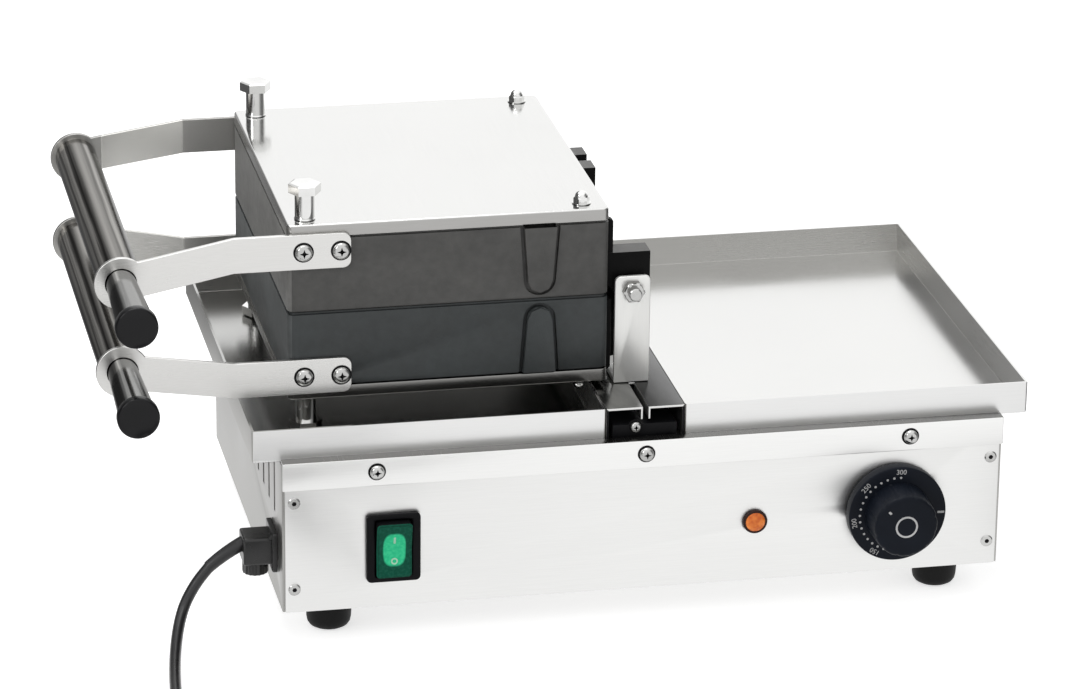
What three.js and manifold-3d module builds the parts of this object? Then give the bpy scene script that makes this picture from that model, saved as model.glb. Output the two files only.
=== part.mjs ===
// A double waffle maker for the counter: two hinged cast-iron plates over a pair of steel drip trays.
// Lengths are millimetres. X runs to the right, Y to the back and Z up.
// Zero is on the counter, under the hinge axis and half way along the trays.
import * as THREE from 'three';
import { mergeVertices } from 'three/addons/utils/BufferGeometryUtils.js';
import Module from 'manifold-3d';

const wasm = await Module();
wasm.setup();

// Shared values
const clearance = 0.3;
const overrun = 2;
const bite = 0.5;
const roundSides = 20;
const smallSides = 12;
const holeSides = 8;
const fluteSides = 6;
const cornerSteps = 2;

// Trays and the bridge between them
const topWidth = 480;
const trayDepth = 296;
const trayLip = 20.5;
const traySheet = 1.5;
const channelWidth = 49;
const bridgeSheet = 1.5;
const bridgeSlotWidth = 3.5;
const bridgeSlotEdge = 1.2;
const bridgeSlotDrop = 8;
const hingeBarWidth = 40;
const hingeBarHeight = 9;

// Base
const footHeight = 21;
const footTopRadius = 14.5;
const footBottomRadius = 13;
const footRim = 1.5;
const footSideInset = 32;
const footEndInset = 27;
const trayOverhang = 17;
const baseHeight = 95;
const baseSheet = 1.5;
const panelInset = 1.5;
const baseFrontProud = 7.2;
const baseRearInset = 14.5;
const frontFlange = 14;
const trimHeight = 17.7;
const trimSheet = 1.2;
const trimRise = 2.2;
const ventCount = 5;
const ventPitch = 22;
const ventWidth = 5;
const ventRise = 54;
const ventDrop = 7;
const ventFrontInset = 32;

// Controls: heights above the feet, insets from the ends of the front panel
const controlRise = 39;
const switchInset = 67;
const switchWidth = 33;
const switchHeight = 44;
const switchBezelDepth = 3;
const switchBezelBorder = 4.5;
const switchNeckWidth = 27;
const switchNeckHeight = 38;
const switchNeckDepth = 24;
const switchWall = 2;
const rockerAngle = 9;
const rockerThickness = 8;
const rockerProud = 1.2;
const rockerPivotDepth = 4;
const lampInset = 155;
const lampBezelRadius = 7.6;
const lampLensRadius = 5.6;
const lampBezelDepth = 2;
const lampLensDepth = 3;
const lampBodyRadius = 5;
const lampBodyLength = 26;
const lampLensEdgeShare = 0.85;
const knobRise = 41.2;
const knobInset = 67.5;
const knobSkirtRadius = 31.8;
const knobSkirtDepth = 5;
const knobSkirtStandoff = 1.6;
const knobCapRadius = 20.3;
const knobCapDepth = 24;
const knobCapTaper = 0.8;
const knobGripCount = 12;
const knobGripRadius = 2.2;
const knobShaftRadius = 3;
const knobShaftLength = 16;
const knobStep = 2.4;
const thermostatWidth = 36;
const thermostatHeight = 40;
const thermostatDepth = 24;
const thermostatStemRadius = 5;
const thermostatStemProud = 0.9;
const terminalWidth = 46;
const terminalDepth = 22;
const terminalHeight = 20;
const terminalSlotWidth = 8;
const terminalSlotDepth = 9;
const terminalWays = 3;
const terminalWall = 3;

// Hinge
const hingeRise = 59.8;
const bracketWidth = 22;
const bracketSheet = 3;
const bracketCrown = 9.2;
const bracketCorner = 3.5;
const bracketSetback = 5;
const bracketFoot = 26;
const pivotRadius = 4;
const pivotNutRadius = 6;
const pivotNutDepth = 4.5;
const pivotTipDepth = 4;
const pivotCollarRadius = 8;
const pivotCollarDepth = 3.5;
const pivotHeadRadius = 6.8;
const pivotHeadDepth = 6;
const headShoulderShare = 0.85;
const headRimShare = 0.45;
const knuckleRadius = 12;
const lugWidth = 15;
const tongueWidth = 11;
const lugHeight = 22.5;

// Waffle plates
const plateSideGap = 27.7;
const plateDepth = 224;
const plateSetback = 16.3;
const castingHeight = 47.4;
const castingCorner = 4;
const castingWall = 8;
const castingFloor = 24;
const partingGap = 0.3;
const pocketCount = 2;
const pocketSideWall = 14;
const pocketEndWall = 10;
const pocketGap = 10;
const pocketSink = 15;
const pocketDraft = 3;
const studRows = 6;
const studColumns = 4;
const studShare = 0.78;
const studTaper = 3;
const studSink = 3;
const ribWidth = 20;
const ribTip = 15;
const ribProud = 2.5;
const ribSetback = 42.5;
const ribTipRise = 5;
const coverHeight = 8;
const coverSheet = 1.5;
const elementRadius = 4;
const elementRuns = 4;
const elementMargin = 22;
const elementSides = 6;
const elementTurnSteps = 6;
const standBossRadius = 8;
const standShaftRadius = 6.2;
const standHeadRadius = 9.5;
const standHeadDepth = 5;
const standHeadChamfer = 1;
const standShankRadius = 3;
const standShankLength = 13;
const standSideInset = 12.4;
const standEndInset = 12;
const acornRadius = 5.2;
const acornRise = 8;
const acornCollar = 3.5;
const acornSideInset = 15;

// Handles
const stripHeight = 22;
const stripSheet = 3;
const stripCorner = 5;
const stripRise = 39.7;
const stripLap = 38;
const stripReach = 32.5;
const stripFlare = 3.5;
const eyeRadius = 16;
const eyeReach = 100.3;
const eyeRise = 28;
const screwRadius = 2.5;
const screwHeadRadius = 5.3;
const screwHeadDepth = 3;
const screwLength = 7;
const screwPitch = 22.6;
const screwFirst = 9.2;
const rodRadius = 9;
const rodStub = 75;
const rodStubRadius = 11.2;
const rodHeadRadius = 13;
const rodHeadDepth = 2;
const gripRadius = 13;
const gripBoreGap = 0.4;
const capRadius = 12.6;
const capSocket = 3;
const capDepth = 4;
const capRim = 1.2;
const capDome = 0.8;

// Cord and its gland
const cordRadius = 3.5;
const cordSides = 8;
const cordSteps = 26;
const glandFrontInset = 33;
const glandRise = 31;
const glandPlateWidth = 27;
const glandPlateHeight = 26;
const glandPlateDepth = 3;
const glandThreadRadius = 9;
const glandThreadLength = 9;
const glandBodyWidth = 20;
const glandBodyHeight = 18;
const glandBodyLength = 17;
const glandClampRadius = 7.6;
const glandClampDrop = 7.5;
const glandClampSetback = 8.6;
const sleeveRadius = 4.6;
const sleeveTipRadius = 3.9;
const sleeveLength = 22;
const sleeveDroop = 31;
const sleeveToe = 8;
const cordRoute = [
  [-270.6, -127, 33.9],
  [-275.6, -129.8, 27.6],
  [-279.7, -134, 21.9],
  [-283, -140.6, 17.1],
  [-285.8, -149.4, 13.3],
  [-288.3, -159.8, 10.3],
  [-290.6, -171.8, 7.9],
  [-292.7, -185, 6.2],
  [-294.6, -199.5, 5],
  [-296.5, -217, 4.2],
  [-298.5, -238, 3.8],
  [-300.6, -260, 4],
  [-302, -280, 4.6],
];

// The put-away coil
const coilSides = 6;
const coilStepsPerTurn = 24;
const coilX = -255.9;
const coilY = -318;
const coilRadius = 46.6;
const coilPitch = 7.6;
const coilTurnsIn = 2.25;
const coilTurnsOut = 2.5;
const coilClimb = 0.5;
const coilLeadIn = 9;
const coilLeadOut = 58;
const coilLeadSteps = 6;
const tieSheet = 1.2;
const tieWidth = 10;
const tieGap = 0.7;
const plugNeckRadius = 5.4;
const plugNeckBase = 8;
const plugNeckLength = 24;
const plugShoulder = 8;
const plugShoulderRadius = 15;
const plugRadius = 18.5;
const plugLength = 26;
const plugPinRadius = 2.4;
const plugPinLength = 19;
const plugPinPitch = 19;

// Places that follow from the sizes above
const deckTop = footHeight + baseHeight;
const trayBottom = deckTop + clearance;
const trayFloor = trayBottom + traySheet;
const lipTop = trayBottom + trayLip;
const hingeHeight = lipTop + hingeRise;
const trayFront = -trayDepth / 2;
const trayBack = trayDepth / 2;
const trayWidth = (topWidth - channelWidth) / 2;
const baseSide = topWidth / 2 - trayOverhang;
const panelFront = trayFront - baseFrontProud;
const baseFront = panelFront + baseSheet + clearance;
const baseBack = trayBack - baseRearInset;
const controlHeight = footHeight + controlRise;
const knobHeight = footHeight + knobRise;
const glandHeight = footHeight + glandRise;
const switchOffset = baseSide - switchInset;
const lampOffset = baseSide - lampInset;
const knobOffset = baseSide - knobInset;
const coverTop = castingHeight + coverHeight + clearance;
const plateRight = -plateSetback;
const plateLeft = plateSideGap - topWidth / 2;
const plateLength = plateRight - plateLeft;
const pocketLength = plateLength - 2 * pocketSideWall;
const pocketDepth = (plateDepth - 2 * pocketEndWall + pocketGap) / pocketCount - pocketGap;
const plateMiddle = (plateLeft + plateRight) / 2;
const plateFront = -plateDepth / 2;
const bracketFront = plateFront + bracketSetback;
const standHeight = hingeHeight - trayFloor - coverTop - clearance;
const stripFace = plateDepth / 2 + clearance;
const eyePlane = stripFace + stripSheet / 2 + stripFlare;
const eyeX = plateLeft - eyeReach;
const standX = plateLeft + standSideInset;
const acornX = plateRight - acornSideInset;
const boltY = plateDepth / 2 - standEndInset;
const screwX = [0, 1].map((index) => plateLeft + screwFirst + index * screwPitch);
const screwSeat = stripSheet + 2 * clearance;
const lugStart = bracketFront + bracketSheet + pivotCollarDepth + 2 * clearance;
const tongueStart = lugStart + lugWidth + clearance;
const innerLugStart = tongueStart + tongueWidth + clearance;
const glandY = panelFront + glandFrontInset;
const rockerTilt = THREE.MathUtils.degToRad(rockerAngle);
const sleeveFall = THREE.MathUtils.degToRad(sleeveDroop);
const sleeveTurn = THREE.MathUtils.degToRad(sleeveToe);
const sleeveWay = new THREE.Vector3(
  -Math.cos(sleeveFall) * Math.cos(sleeveTurn),
  -Math.cos(sleeveFall) * Math.sin(sleeveTurn),
  -Math.sin(sleeveFall),
);
const glandMouth = new THREE.Vector3(
  -baseSide - clearance - glandPlateDepth - glandBodyLength - sleeveRadius * Math.sin(sleeveFall),
  glandY,
  glandHeight,
);
const sleeveTip = glandMouth.clone().addScaledVector(sleeveWay, sleeveLength);

// Colours
const steel = { color: 0xc9c9c6, roughness: 0.32, metalness: 0.9 };
const polished = { color: 0xd8d8d8, roughness: 0.12, metalness: 1 };
const iron = { color: 0x3a3b3a, roughness: 0.62, metalness: 0.35 };
const darkSteel = { color: 0x242526, roughness: 0.45, metalness: 0.6 };
const blackPlastic = { color: 0x161718, roughness: 0.42, metalness: 0 };
const rubber = { color: 0x141414, roughness: 0.8, metalness: 0 };
const greenPlastic = { color: 0x0d9a4a, roughness: 0.25, metalness: 0 };
const amberPlastic = { color: 0xd9691e, roughness: 0.2, metalness: 0 };
const ceramic = { color: 0xcfc8b8, roughness: 0.7, metalness: 0 };
const strap = { color: 0x2a2a2a, roughness: 0.6, metalness: 0 };

// A closed geometry as a solid that can be joined and cut.
function solid(geometry) {
  const bare = geometry.index ? geometry.toNonIndexed() : geometry.clone();
  bare.deleteAttribute('normal');
  bare.deleteAttribute('uv');
  const merged = mergeVertices(bare);
  const vertProperties = new Float32Array(merged.attributes.position.array);
  const triVerts = new Uint32Array(merged.index.array);
  return new wasm.Manifold(new wasm.Mesh({ numProp: 3, vertProperties, triVerts }));
}

// The geometry of a solid, with flat faces.
function geometryOf(body) {
  const mesh = body.getMesh();
  const geometry = new THREE.BufferGeometry();
  geometry.setAttribute('position', new THREE.BufferAttribute(new Float32Array(mesh.vertProperties), 3));
  geometry.setIndex(new THREE.BufferAttribute(new Uint32Array(mesh.triVerts), 1));
  const flat = geometry.toNonIndexed();
  flat.computeVertexNormals();
  return flat;
}

function joined(...bodies) {
  return bodies.reduce((whole, body) => whole.add(body));
}

function cut(body, ...tools) {
  return tools.reduce((whole, tool) => whole.subtract(tool), body);
}

// A block between two corners.
function block(low, high) {
  const size = high.map((value, axis) => value - low[axis]);
  const geometry = new THREE.BoxGeometry(size[0], size[1], size[2]);
  geometry.translate(low[0] + size[0] / 2, low[1] + size[1] / 2, low[2] + size[2] / 2);
  return solid(geometry);
}

// A profile drawn in X and Y, raised from one height to another.
function raised(shape, bottom, top) {
  const geometry = new THREE.ExtrudeGeometry(shape, {
    depth: top - bottom,
    bevelEnabled: false,
    curveSegments: cornerSteps,
  });
  geometry.translate(0, 0, bottom);
  return solid(geometry);
}

// A profile drawn in X and Z, carried from one place on Y to another.
function carried(shape, front, back) {
  const geometry = new THREE.ExtrudeGeometry(shape, {
    depth: back - front,
    bevelEnabled: false,
    curveSegments: cornerSteps,
  });
  geometry.rotateX(Math.PI / 2);
  geometry.translate(0, back, 0);
  return solid(geometry);
}

// A round bar along an axis, named by a letter, from one place on it to another.
function bar(axis, radius, from, to, across, sides = roundSides, endRadius = radius) {
  const geometry = new THREE.CylinderGeometry(endRadius, radius, to - from, sides);
  geometry.translate(0, (from + to) / 2, 0);
  if (axis === 'x') {
    geometry.rotateZ(-Math.PI / 2);
    geometry.translate(0, across[0], across[1]);
  } else if (axis === 'z') {
    geometry.rotateX(Math.PI / 2);
    geometry.translate(across[0], across[1], 0);
  } else {
    geometry.translate(across[0], 0, across[1]);
  }
  return solid(geometry);
}

// A profile of radius and height pairs, turned about Z.
function turned(profile, sides = roundSides) {
  const points = profile.map(([radius, height]) => new THREE.Vector2(radius, height));
  const geometry = new THREE.LatheGeometry(points, sides);
  geometry.rotateX(Math.PI / 2);
  return solid(geometry);
}

// The same, turned about Y, with its heights along Y.
function turnedAlongY(profile, sides = roundSides) {
  const points = profile.map(([radius, height]) => new THREE.Vector2(radius, height));
  return solid(new THREE.LatheGeometry(points, sides));
}

function roundedRectangle(left, bottom, right, top, radius) {
  const shape = new THREE.Shape();
  shape.moveTo(left + radius, bottom);
  shape.lineTo(right - radius, bottom);
  shape.absarc(right - radius, bottom + radius, radius, -Math.PI / 2, 0, false);
  shape.lineTo(right, top - radius);
  shape.absarc(right - radius, top - radius, radius, 0, Math.PI / 2, false);
  shape.lineTo(left + radius, top);
  shape.absarc(left + radius, top - radius, radius, Math.PI / 2, Math.PI, false);
  shape.lineTo(left, bottom + radius);
  shape.absarc(left + radius, bottom + radius, radius, Math.PI, 1.5 * Math.PI, false);
  return shape;
}

function polygon(points) {
  return new THREE.Shape(points.map(([x, y]) => new THREE.Vector2(x, y)));
}

// A solid turned over top to bottom.
function flipped(body) {
  const geometry = geometryOf(body);
  geometry.scale(1, 1, -1);
  const position = geometry.attributes.position;
  const corner = new THREE.Vector3();
  const other = new THREE.Vector3();
  for (let first = 0; first < position.count; first += 3) {
    corner.fromBufferAttribute(position, first + 1);
    other.fromBufferAttribute(position, first + 2);
    position.setXYZ(first + 1, other.x, other.y, other.z);
    position.setXYZ(first + 2, corner.x, corner.y, corner.z);
  }
  return solid(geometry);
}

const machine = new THREE.Group();
const base = new THREE.Group();
const lowerPlate = new THREE.Group();
const upperPlate = new THREE.Group();
const cordGroup = new THREE.Group();
machine.add(base, lowerPlate, upperPlate, cordGroup);

function place(group, name, shape, look, at = [0, 0, 0]) {
  const geometry = shape.isBufferGeometry ? shape : geometryOf(shape);
  const mesh = new THREE.Mesh(geometry, new THREE.MeshStandardMaterial(look));
  mesh.name = name;
  mesh.position.set(at[0], at[1], at[2]);
  group.add(mesh);
  return mesh;
}

// Base housing: a folded box, open below and with a wide window behind the front panel.
function housing() {
  const outside = block([-baseSide, baseFront, footHeight], [baseSide, baseBack, deckTop]);
  const inside = block(
    [-baseSide + baseSheet, baseFront + baseSheet, footHeight - overrun],
    [baseSide - baseSheet, baseBack - baseSheet, deckTop - baseSheet],
  );
  const window = block(
    [-baseSide + frontFlange, baseFront - overrun, footHeight - overrun],
    [baseSide - frontFlange, baseFront + baseSheet + overrun, deckTop - frontFlange],
  );
  const vents = [];
  const ventTop = deckTop - ventDrop;
  for (let row = 0; row < ventCount; row += 1) {
    const y = panelFront + ventFrontInset + row * ventPitch;
    for (const side of [-1, 1]) {
      const x = side * (baseSide - baseSheet / 2);
      vents.push(block(
        [x - overrun, y - ventWidth / 2, footHeight + ventRise],
        [x + overrun, y + ventWidth / 2, ventTop],
      ));
    }
  }
  const cordHole = bar('x', glandThreadRadius + clearance,
    -baseSide - overrun, -baseSide + baseSheet + overrun, [glandY, glandHeight], smallSides);
  return cut(outside, inside, window, cordHole, ...vents);
}

function panel() {
  const shape = new THREE.Shape();
  const bottom = footHeight;
  const top = deckTop;
  const side = baseSide - panelInset;
  shape.moveTo(-side, bottom);
  shape.lineTo(side, bottom);
  shape.lineTo(side, top);
  shape.lineTo(-side, top);
  const plate = carried(shape, panelFront, panelFront + baseSheet);
  const cutFront = panelFront - overrun;
  const cutBack = panelFront + baseSheet + overrun;
  const halfWidth = switchNeckWidth / 2 + clearance;
  const halfHeight = switchNeckHeight / 2 + clearance;
  const switchHole = block(
    [-switchOffset - halfWidth, cutFront, controlHeight - halfHeight],
    [-switchOffset + halfWidth, cutBack, controlHeight + halfHeight],
  );
  const lampHole = bar('y', lampBodyRadius + clearance, cutFront, cutBack,
    [lampOffset, controlHeight], smallSides);
  const stemHole = bar('y', thermostatStemRadius + clearance, cutFront, cutBack,
    [knobOffset, knobHeight], smallSides);
  return cut(plate, switchHole, lampHole, stemHole);
}

function frontTrim() {
  const face = panelFront - clearance - trimSheet;
  const top = deckTop + trimRise;
  const upright = block([-baseSide, face, top - trimHeight], [baseSide, face + trimSheet, top]);
  const ledge = block([-baseSide, face, top - trimSheet], [baseSide, trayFront - clearance, top]);
  return joined(upright, ledge);
}

function bottomPlate() {
  const gap = baseSheet + clearance;
  return block(
    [-baseSide + gap, baseFront + gap, footHeight],
    [baseSide - gap, baseBack - gap, footHeight + baseSheet],
  );
}

function foot() {
  return turned([
    [0, 0],
    [footBottomRadius - footRim, 0],
    [footBottomRadius, footRim],
    [footTopRadius, footHeight - clearance],
    [0, footHeight - clearance],
  ]);
}

function tray(side) {
  const inner = channelWidth / 2;
  const outer = topWidth / 2;
  const left = side < 0 ? -outer : inner;
  const right = left + trayWidth;
  const outside = block([left, trayFront, trayBottom], [right, trayBack, lipTop]);
  const inside = block(
    [left + traySheet, trayFront + traySheet, trayFloor],
    [right - traySheet, trayBack - traySheet, lipTop + overrun],
  );
  return cut(outside, inside);
}

// The bridge is a folded channel whose top is slit from the front edge back to the hinge bracket.
function bridge() {
  const half = channelWidth / 2 - clearance;
  const outside = block([-half, trayFront, trayBottom], [half, trayBack, lipTop]);
  const inside = block(
    [-half + bridgeSheet, trayFront - overrun, trayBottom - overrun],
    [half - bridgeSheet, trayBack + overrun, lipTop - bridgeSheet],
  );
  const slotHalf = bridgeSlotWidth / 2;
  const slotBack = bracketFront - clearance;
  const slot = block(
    [-slotHalf, trayFront - overrun, lipTop - bridgeSheet - overrun],
    [slotHalf, slotBack, lipTop + overrun],
  );
  const edges = [-1, 1].map((side) => {
    const middle = side * (slotHalf + bridgeSlotEdge / 2);
    return block(
      [middle - bridgeSlotEdge / 2, trayFront, lipTop - bridgeSlotDrop],
      [middle + bridgeSlotEdge / 2, slotBack, lipTop - bridgeSheet / 2],
    );
  });
  return joined(cut(outside, inside, slot), ...edges);
}

function hingeBar() {
  const half = hingeBarWidth / 2;
  return block(
    [-half, trayFront + bridgeSheet, trayBottom],
    [half, trayBack - bridgeSheet, trayBottom + hingeBarHeight],
  );
}

// An upright strip with its foot turned towards the middle of the machine, drawn for the front.
function bracket() {
  const half = bracketWidth / 2;
  const top = hingeHeight + bracketCrown;
  const bottom = lipTop + clearance;
  const back = bracketFront + bracketSheet;
  const outline = new THREE.Shape();
  outline.moveTo(-half, bottom);
  outline.lineTo(half, bottom);
  outline.lineTo(half, top - bracketCorner);
  outline.absarc(half - bracketCorner, top - bracketCorner, bracketCorner, 0, Math.PI / 2, false);
  outline.absarc(-half + bracketCorner, top - bracketCorner, bracketCorner, Math.PI / 2, Math.PI, false);
  const upright = carried(outline, bracketFront, back);
  const toeBack = bracketFront + bracketFoot;
  const toe = block([-half, bracketFront, bottom], [half, toeBack, bottom + bracketSheet]);
  const hole = bar('y', pivotRadius + clearance, bracketFront - overrun, back + overrun, [0, hingeHeight]);
  return cut(joined(upright, toe), hole);
}

// The pivot bolt has a nut and its own tip outside the bracket and a collar inside it.
// Its head closes the row past the last lug.
function pivotBolt(headStart) {
  const collarFront = bracketFront + bracketSheet + clearance;
  const collarBack = collarFront + pivotCollarDepth;
  const nutBack = bracketFront - clearance;
  const nutFront = nutBack - pivotNutDepth;
  const tip = nutFront - pivotTipDepth;
  return turnedAlongY([
    [0, tip],
    [pivotRadius * headShoulderShare, tip],
    [pivotRadius, nutFront],
    [pivotNutRadius * headShoulderShare, nutFront],
    [pivotNutRadius, nutBack - pivotNutDepth * headShoulderShare],
    [pivotNutRadius, nutBack],
    [pivotRadius, nutBack],
    [pivotRadius, collarFront],
    [pivotCollarRadius, collarFront],
    [pivotCollarRadius, collarBack],
    [pivotRadius, collarBack],
    [pivotRadius, headStart],
    [pivotHeadRadius, headStart],
    [pivotHeadRadius, headStart + pivotHeadDepth],
    [0, headStart + pivotHeadDepth],
  ], smallSides);
}

function switchHousing() {
  const halfWidth = switchWidth / 2;
  const halfHeight = switchHeight / 2;
  const back = panelFront - clearance;
  const bezel = carried(
    roundedRectangle(-switchOffset - halfWidth, controlHeight - halfHeight,
      -switchOffset + halfWidth, controlHeight + halfHeight, switchWall),
    back - switchBezelDepth, back,
  );
  const neck = block(
    [-switchOffset - switchNeckWidth / 2, back - bite, controlHeight - switchNeckHeight / 2],
    [-switchOffset + switchNeckWidth / 2, back + switchNeckDepth, controlHeight + switchNeckHeight / 2],
  );
  const wellWidth = halfWidth - switchBezelBorder;
  const wellHeight = halfHeight - switchBezelBorder;
  const well = block(
    [-switchOffset - wellWidth, back - switchBezelDepth - overrun, controlHeight - wellHeight],
    [-switchOffset + wellWidth, back + switchNeckDepth - switchWall, controlHeight + wellHeight],
  );
  return cut(joined(bezel, neck), well);
}

// The rocker's face is two flats that meet in a shallow valley, drawn about its pivot in Y and Z.
function rocker() {
  const halfWidth = switchWidth / 2 - switchBezelBorder - clearance;
  const swing = rockerThickness * Math.sin(rockerTilt) / 2;
  const halfHeight = switchHeight / 2 - switchBezelBorder - 2 * clearance - swing;
  const proud = rockerPivotDepth + switchBezelDepth + rockerProud;
  const valley = proud - halfHeight * Math.tan(rockerTilt);
  const shape = polygon([
    [-halfHeight, proud],
    [-halfHeight, proud - rockerThickness],
    [halfHeight, proud - rockerThickness],
    [halfHeight, proud],
    [0, valley],
  ]);
  const geometry = new THREE.ExtrudeGeometry(shape, { depth: 2 * halfWidth, bevelEnabled: false });
  geometry.translate(0, 0, -halfWidth);
  geometry.rotateY(Math.PI / 2);
  geometry.rotateX(Math.PI);
  return solid(geometry);
}

function pilotLamp() {
  const back = panelFront - clearance;
  const lensFront = back - lampBezelDepth - lampLensDepth;
  return turnedAlongY([
    [0, lensFront],
    [lampLensRadius * lampLensEdgeShare, lensFront],
    [lampLensRadius, back - lampBezelDepth],
    [lampBezelRadius, back - lampBezelDepth],
    [lampBezelRadius, back],
    [lampBodyRadius, back],
    [lampBodyRadius, back + lampBodyLength],
    [0, back + lampBodyLength],
  ], smallSides);
}

// Knob: a flat skirt for the scale and a fluted cap, on a shaft that runs into the thermostat.
function knob() {
  const skirtBack = -knobSkirtStandoff;
  const skirtFront = skirtBack - knobSkirtDepth;
  const capFront = skirtFront - knobCapDepth;
  const turnedBody = turnedAlongY([
    [0, capFront],
    [knobCapRadius - knobCapTaper - knobStep / 2, capFront],
    [knobCapRadius - knobCapTaper, capFront + knobStep / 2],
    [knobCapRadius, skirtFront],
    [knobSkirtRadius - knobStep / 2, skirtFront],
    [knobSkirtRadius, skirtFront + knobStep / 2],
    [knobSkirtRadius, skirtBack],
    [knobShaftRadius, skirtBack],
    [knobShaftRadius, knobShaftLength],
    [0, knobShaftLength],
  ], 2 * knobGripCount);
  const flutes = [];
  for (let flute = 0; flute < knobGripCount; flute += 1) {
    const angle = 2 * Math.PI * (flute + 1 / 2) / knobGripCount;
    const reach = knobCapRadius + knobGripRadius / 2;
    flutes.push(bar('y', knobGripRadius, capFront - overrun, skirtFront - knobStep,
      [reach * Math.cos(angle), reach * Math.sin(angle)], fluteSides));
  }
  return cut(turnedBody, ...flutes);
}

function thermostat() {
  const front = panelFront + baseSheet + clearance;
  const stemFront = panelFront - thermostatStemProud;
  const body = block(
    [knobOffset - thermostatWidth / 2, front, knobHeight - thermostatHeight / 2],
    [knobOffset + thermostatWidth / 2, front + thermostatDepth, knobHeight + thermostatHeight / 2],
  );
  const stem = bar('y', thermostatStemRadius, stemFront, front + bite,
    [knobOffset, knobHeight], smallSides);
  const bore = bar('y', knobShaftRadius + 2 * clearance, stemFront - overrun,
    panelFront + knobShaftLength + overrun, [knobOffset, knobHeight], roundSides);
  return cut(joined(body, stem), bore);
}

function terminalBlock() {
  const low = footHeight + baseSheet + clearance;
  const left = -baseSide + terminalWidth;
  const front = glandY + terminalDepth;
  const high = low + terminalHeight;
  const body = block([left, front, low], [left + terminalWidth, front + terminalDepth, high]);
  const pitch = (terminalWidth - 2 * terminalWall) / terminalWays;
  const slots = [];
  for (let way = 0; way < terminalWays; way += 1) {
    const x = left + terminalWall + (way + 1 / 2) * pitch;
    slots.push(block(
      [x - terminalSlotWidth / 2, front - overrun, high - terminalSlotDepth],
      [x + terminalSlotWidth / 2, front + terminalDepth - terminalWall, high + overrun],
    ));
  }
  return cut(body, ...slots);
}

// Waffle pocket places, measured from the middle of the plate.
function pocketCentre(index) {
  return (index - (pocketCount - 1) / 2) * (pocketDepth + pocketGap);
}

// One cast plate, drawn with its waffle face at the parting plane and its back up.
function casting(lugs) {
  const bottom = partingGap / 2;
  const front = plateFront;
  const outline = roundedRectangle(plateLeft, front, plateRight, front + plateDepth, castingCorner);
  let body = raised(outline, bottom, castingHeight);
  const hollow = roundedRectangle(
    plateLeft + castingWall, front + castingWall,
    plateRight - castingWall, front + plateDepth - castingWall, castingCorner,
  );
  body = cut(body, raised(hollow, castingFloor, castingHeight + overrun));
  body = cut(body, ...pockets());
  body = joined(body, ...waffleStuds(), ...bosses(), ...ribs(), ...lugs);
  return cut(body, ...plateHoles());
}

// Pockets flare towards the parting plane, so that the waffles drop out.
function pockets() {
  const bodies = [];
  for (let index = 0; index < pocketCount; index += 1) {
    const deep = [pocketLength - 2 * pocketDraft, pocketDepth - 2 * pocketDraft];
    bodies.push(taperedBlock([pocketLength, pocketDepth], deep, -overrun, pocketSink,
      [plateMiddle, pocketCentre(index)]));
  }
  return bodies;
}

// A block whose upper face differs in size from its lower face.
function taperedBlock(lower, upper, bottom, top, centre) {
  const geometry = new THREE.BoxGeometry(1, 1, 1);
  const position = geometry.attributes.position;
  for (let index = 0; index < position.count; index += 1) {
    const high = position.getZ(index) > 0;
    const size = high ? upper : lower;
    position.setXYZ(
      index,
      centre[0] + position.getX(index) * size[0],
      centre[1] + position.getY(index) * size[1],
      high ? top : bottom,
    );
  }
  return solid(geometry);
}

function waffleStuds() {
  const bodies = [];
  const length = (pocketLength - 2 * pocketDraft) / studRows;
  const depth = (pocketDepth - 2 * pocketDraft) / studColumns;
  const root = [length * studShare, depth * studShare];
  const tip = [root[0] - 2 * studTaper, root[1] - 2 * studTaper];
  for (let index = 0; index < pocketCount; index += 1) {
    for (let row = 0; row < studRows; row += 1) {
      for (let column = 0; column < studColumns; column += 1) {
        const x = plateMiddle + (row - (studRows - 1) / 2) * length;
        const y = pocketCentre(index) + (column - (studColumns - 1) / 2) * depth;
        bodies.push(taperedBlock(tip, root, studSink, pocketSink + bite, [x, y]));
      }
    }
  }
  return bodies;
}

// Bosses that take the screws of the stands and the domed nuts.
function bosses() {
  const bodies = [];
  for (const x of [standX, acornX]) {
    for (const side of [-1, 1]) {
      bodies.push(bar('z', standBossRadius, castingFloor - bite, castingHeight,
        [x, side * boltY], smallSides));
    }
  }
  return bodies;
}

// A tapered rib down the front and the back of the plate, with a round tip.
function ribs() {
  const x = plateRight - ribSetback;
  const tipRadius = ribTip / 2;
  const tipHeight = ribTipRise + tipRadius;
  const shape = new THREE.Shape();
  shape.moveTo(x - ribWidth / 2, castingHeight);
  shape.lineTo(x - tipRadius, tipHeight);
  shape.absarc(x, tipHeight, tipRadius, Math.PI, 2 * Math.PI, false);
  shape.lineTo(x + ribWidth / 2, castingHeight);
  const half = plateDepth / 2;
  return [
    carried(shape, -half - ribProud, -half + bite),
    carried(shape, half - bite, half + ribProud),
  ];
}

function plateHoles() {
  const bodies = [];
  for (const x of [standX, acornX]) {
    for (const side of [-1, 1]) {
      bodies.push(bar('z', standShankRadius + clearance, coverTop - standShankLength - overrun,
        castingHeight + overrun, [x, side * boltY], holeSides));
    }
  }
  const half = plateDepth / 2;
  for (const x of screwX) {
    bodies.push(bar('y', screwRadius + clearance, -half - overrun, -half + screwLength + clearance,
      [x, stripRise], holeSides));
    bodies.push(bar('y', screwRadius + clearance, half - screwLength - clearance, half + overrun,
      [x, stripRise], holeSides));
  }
  return bodies;
}

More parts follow.
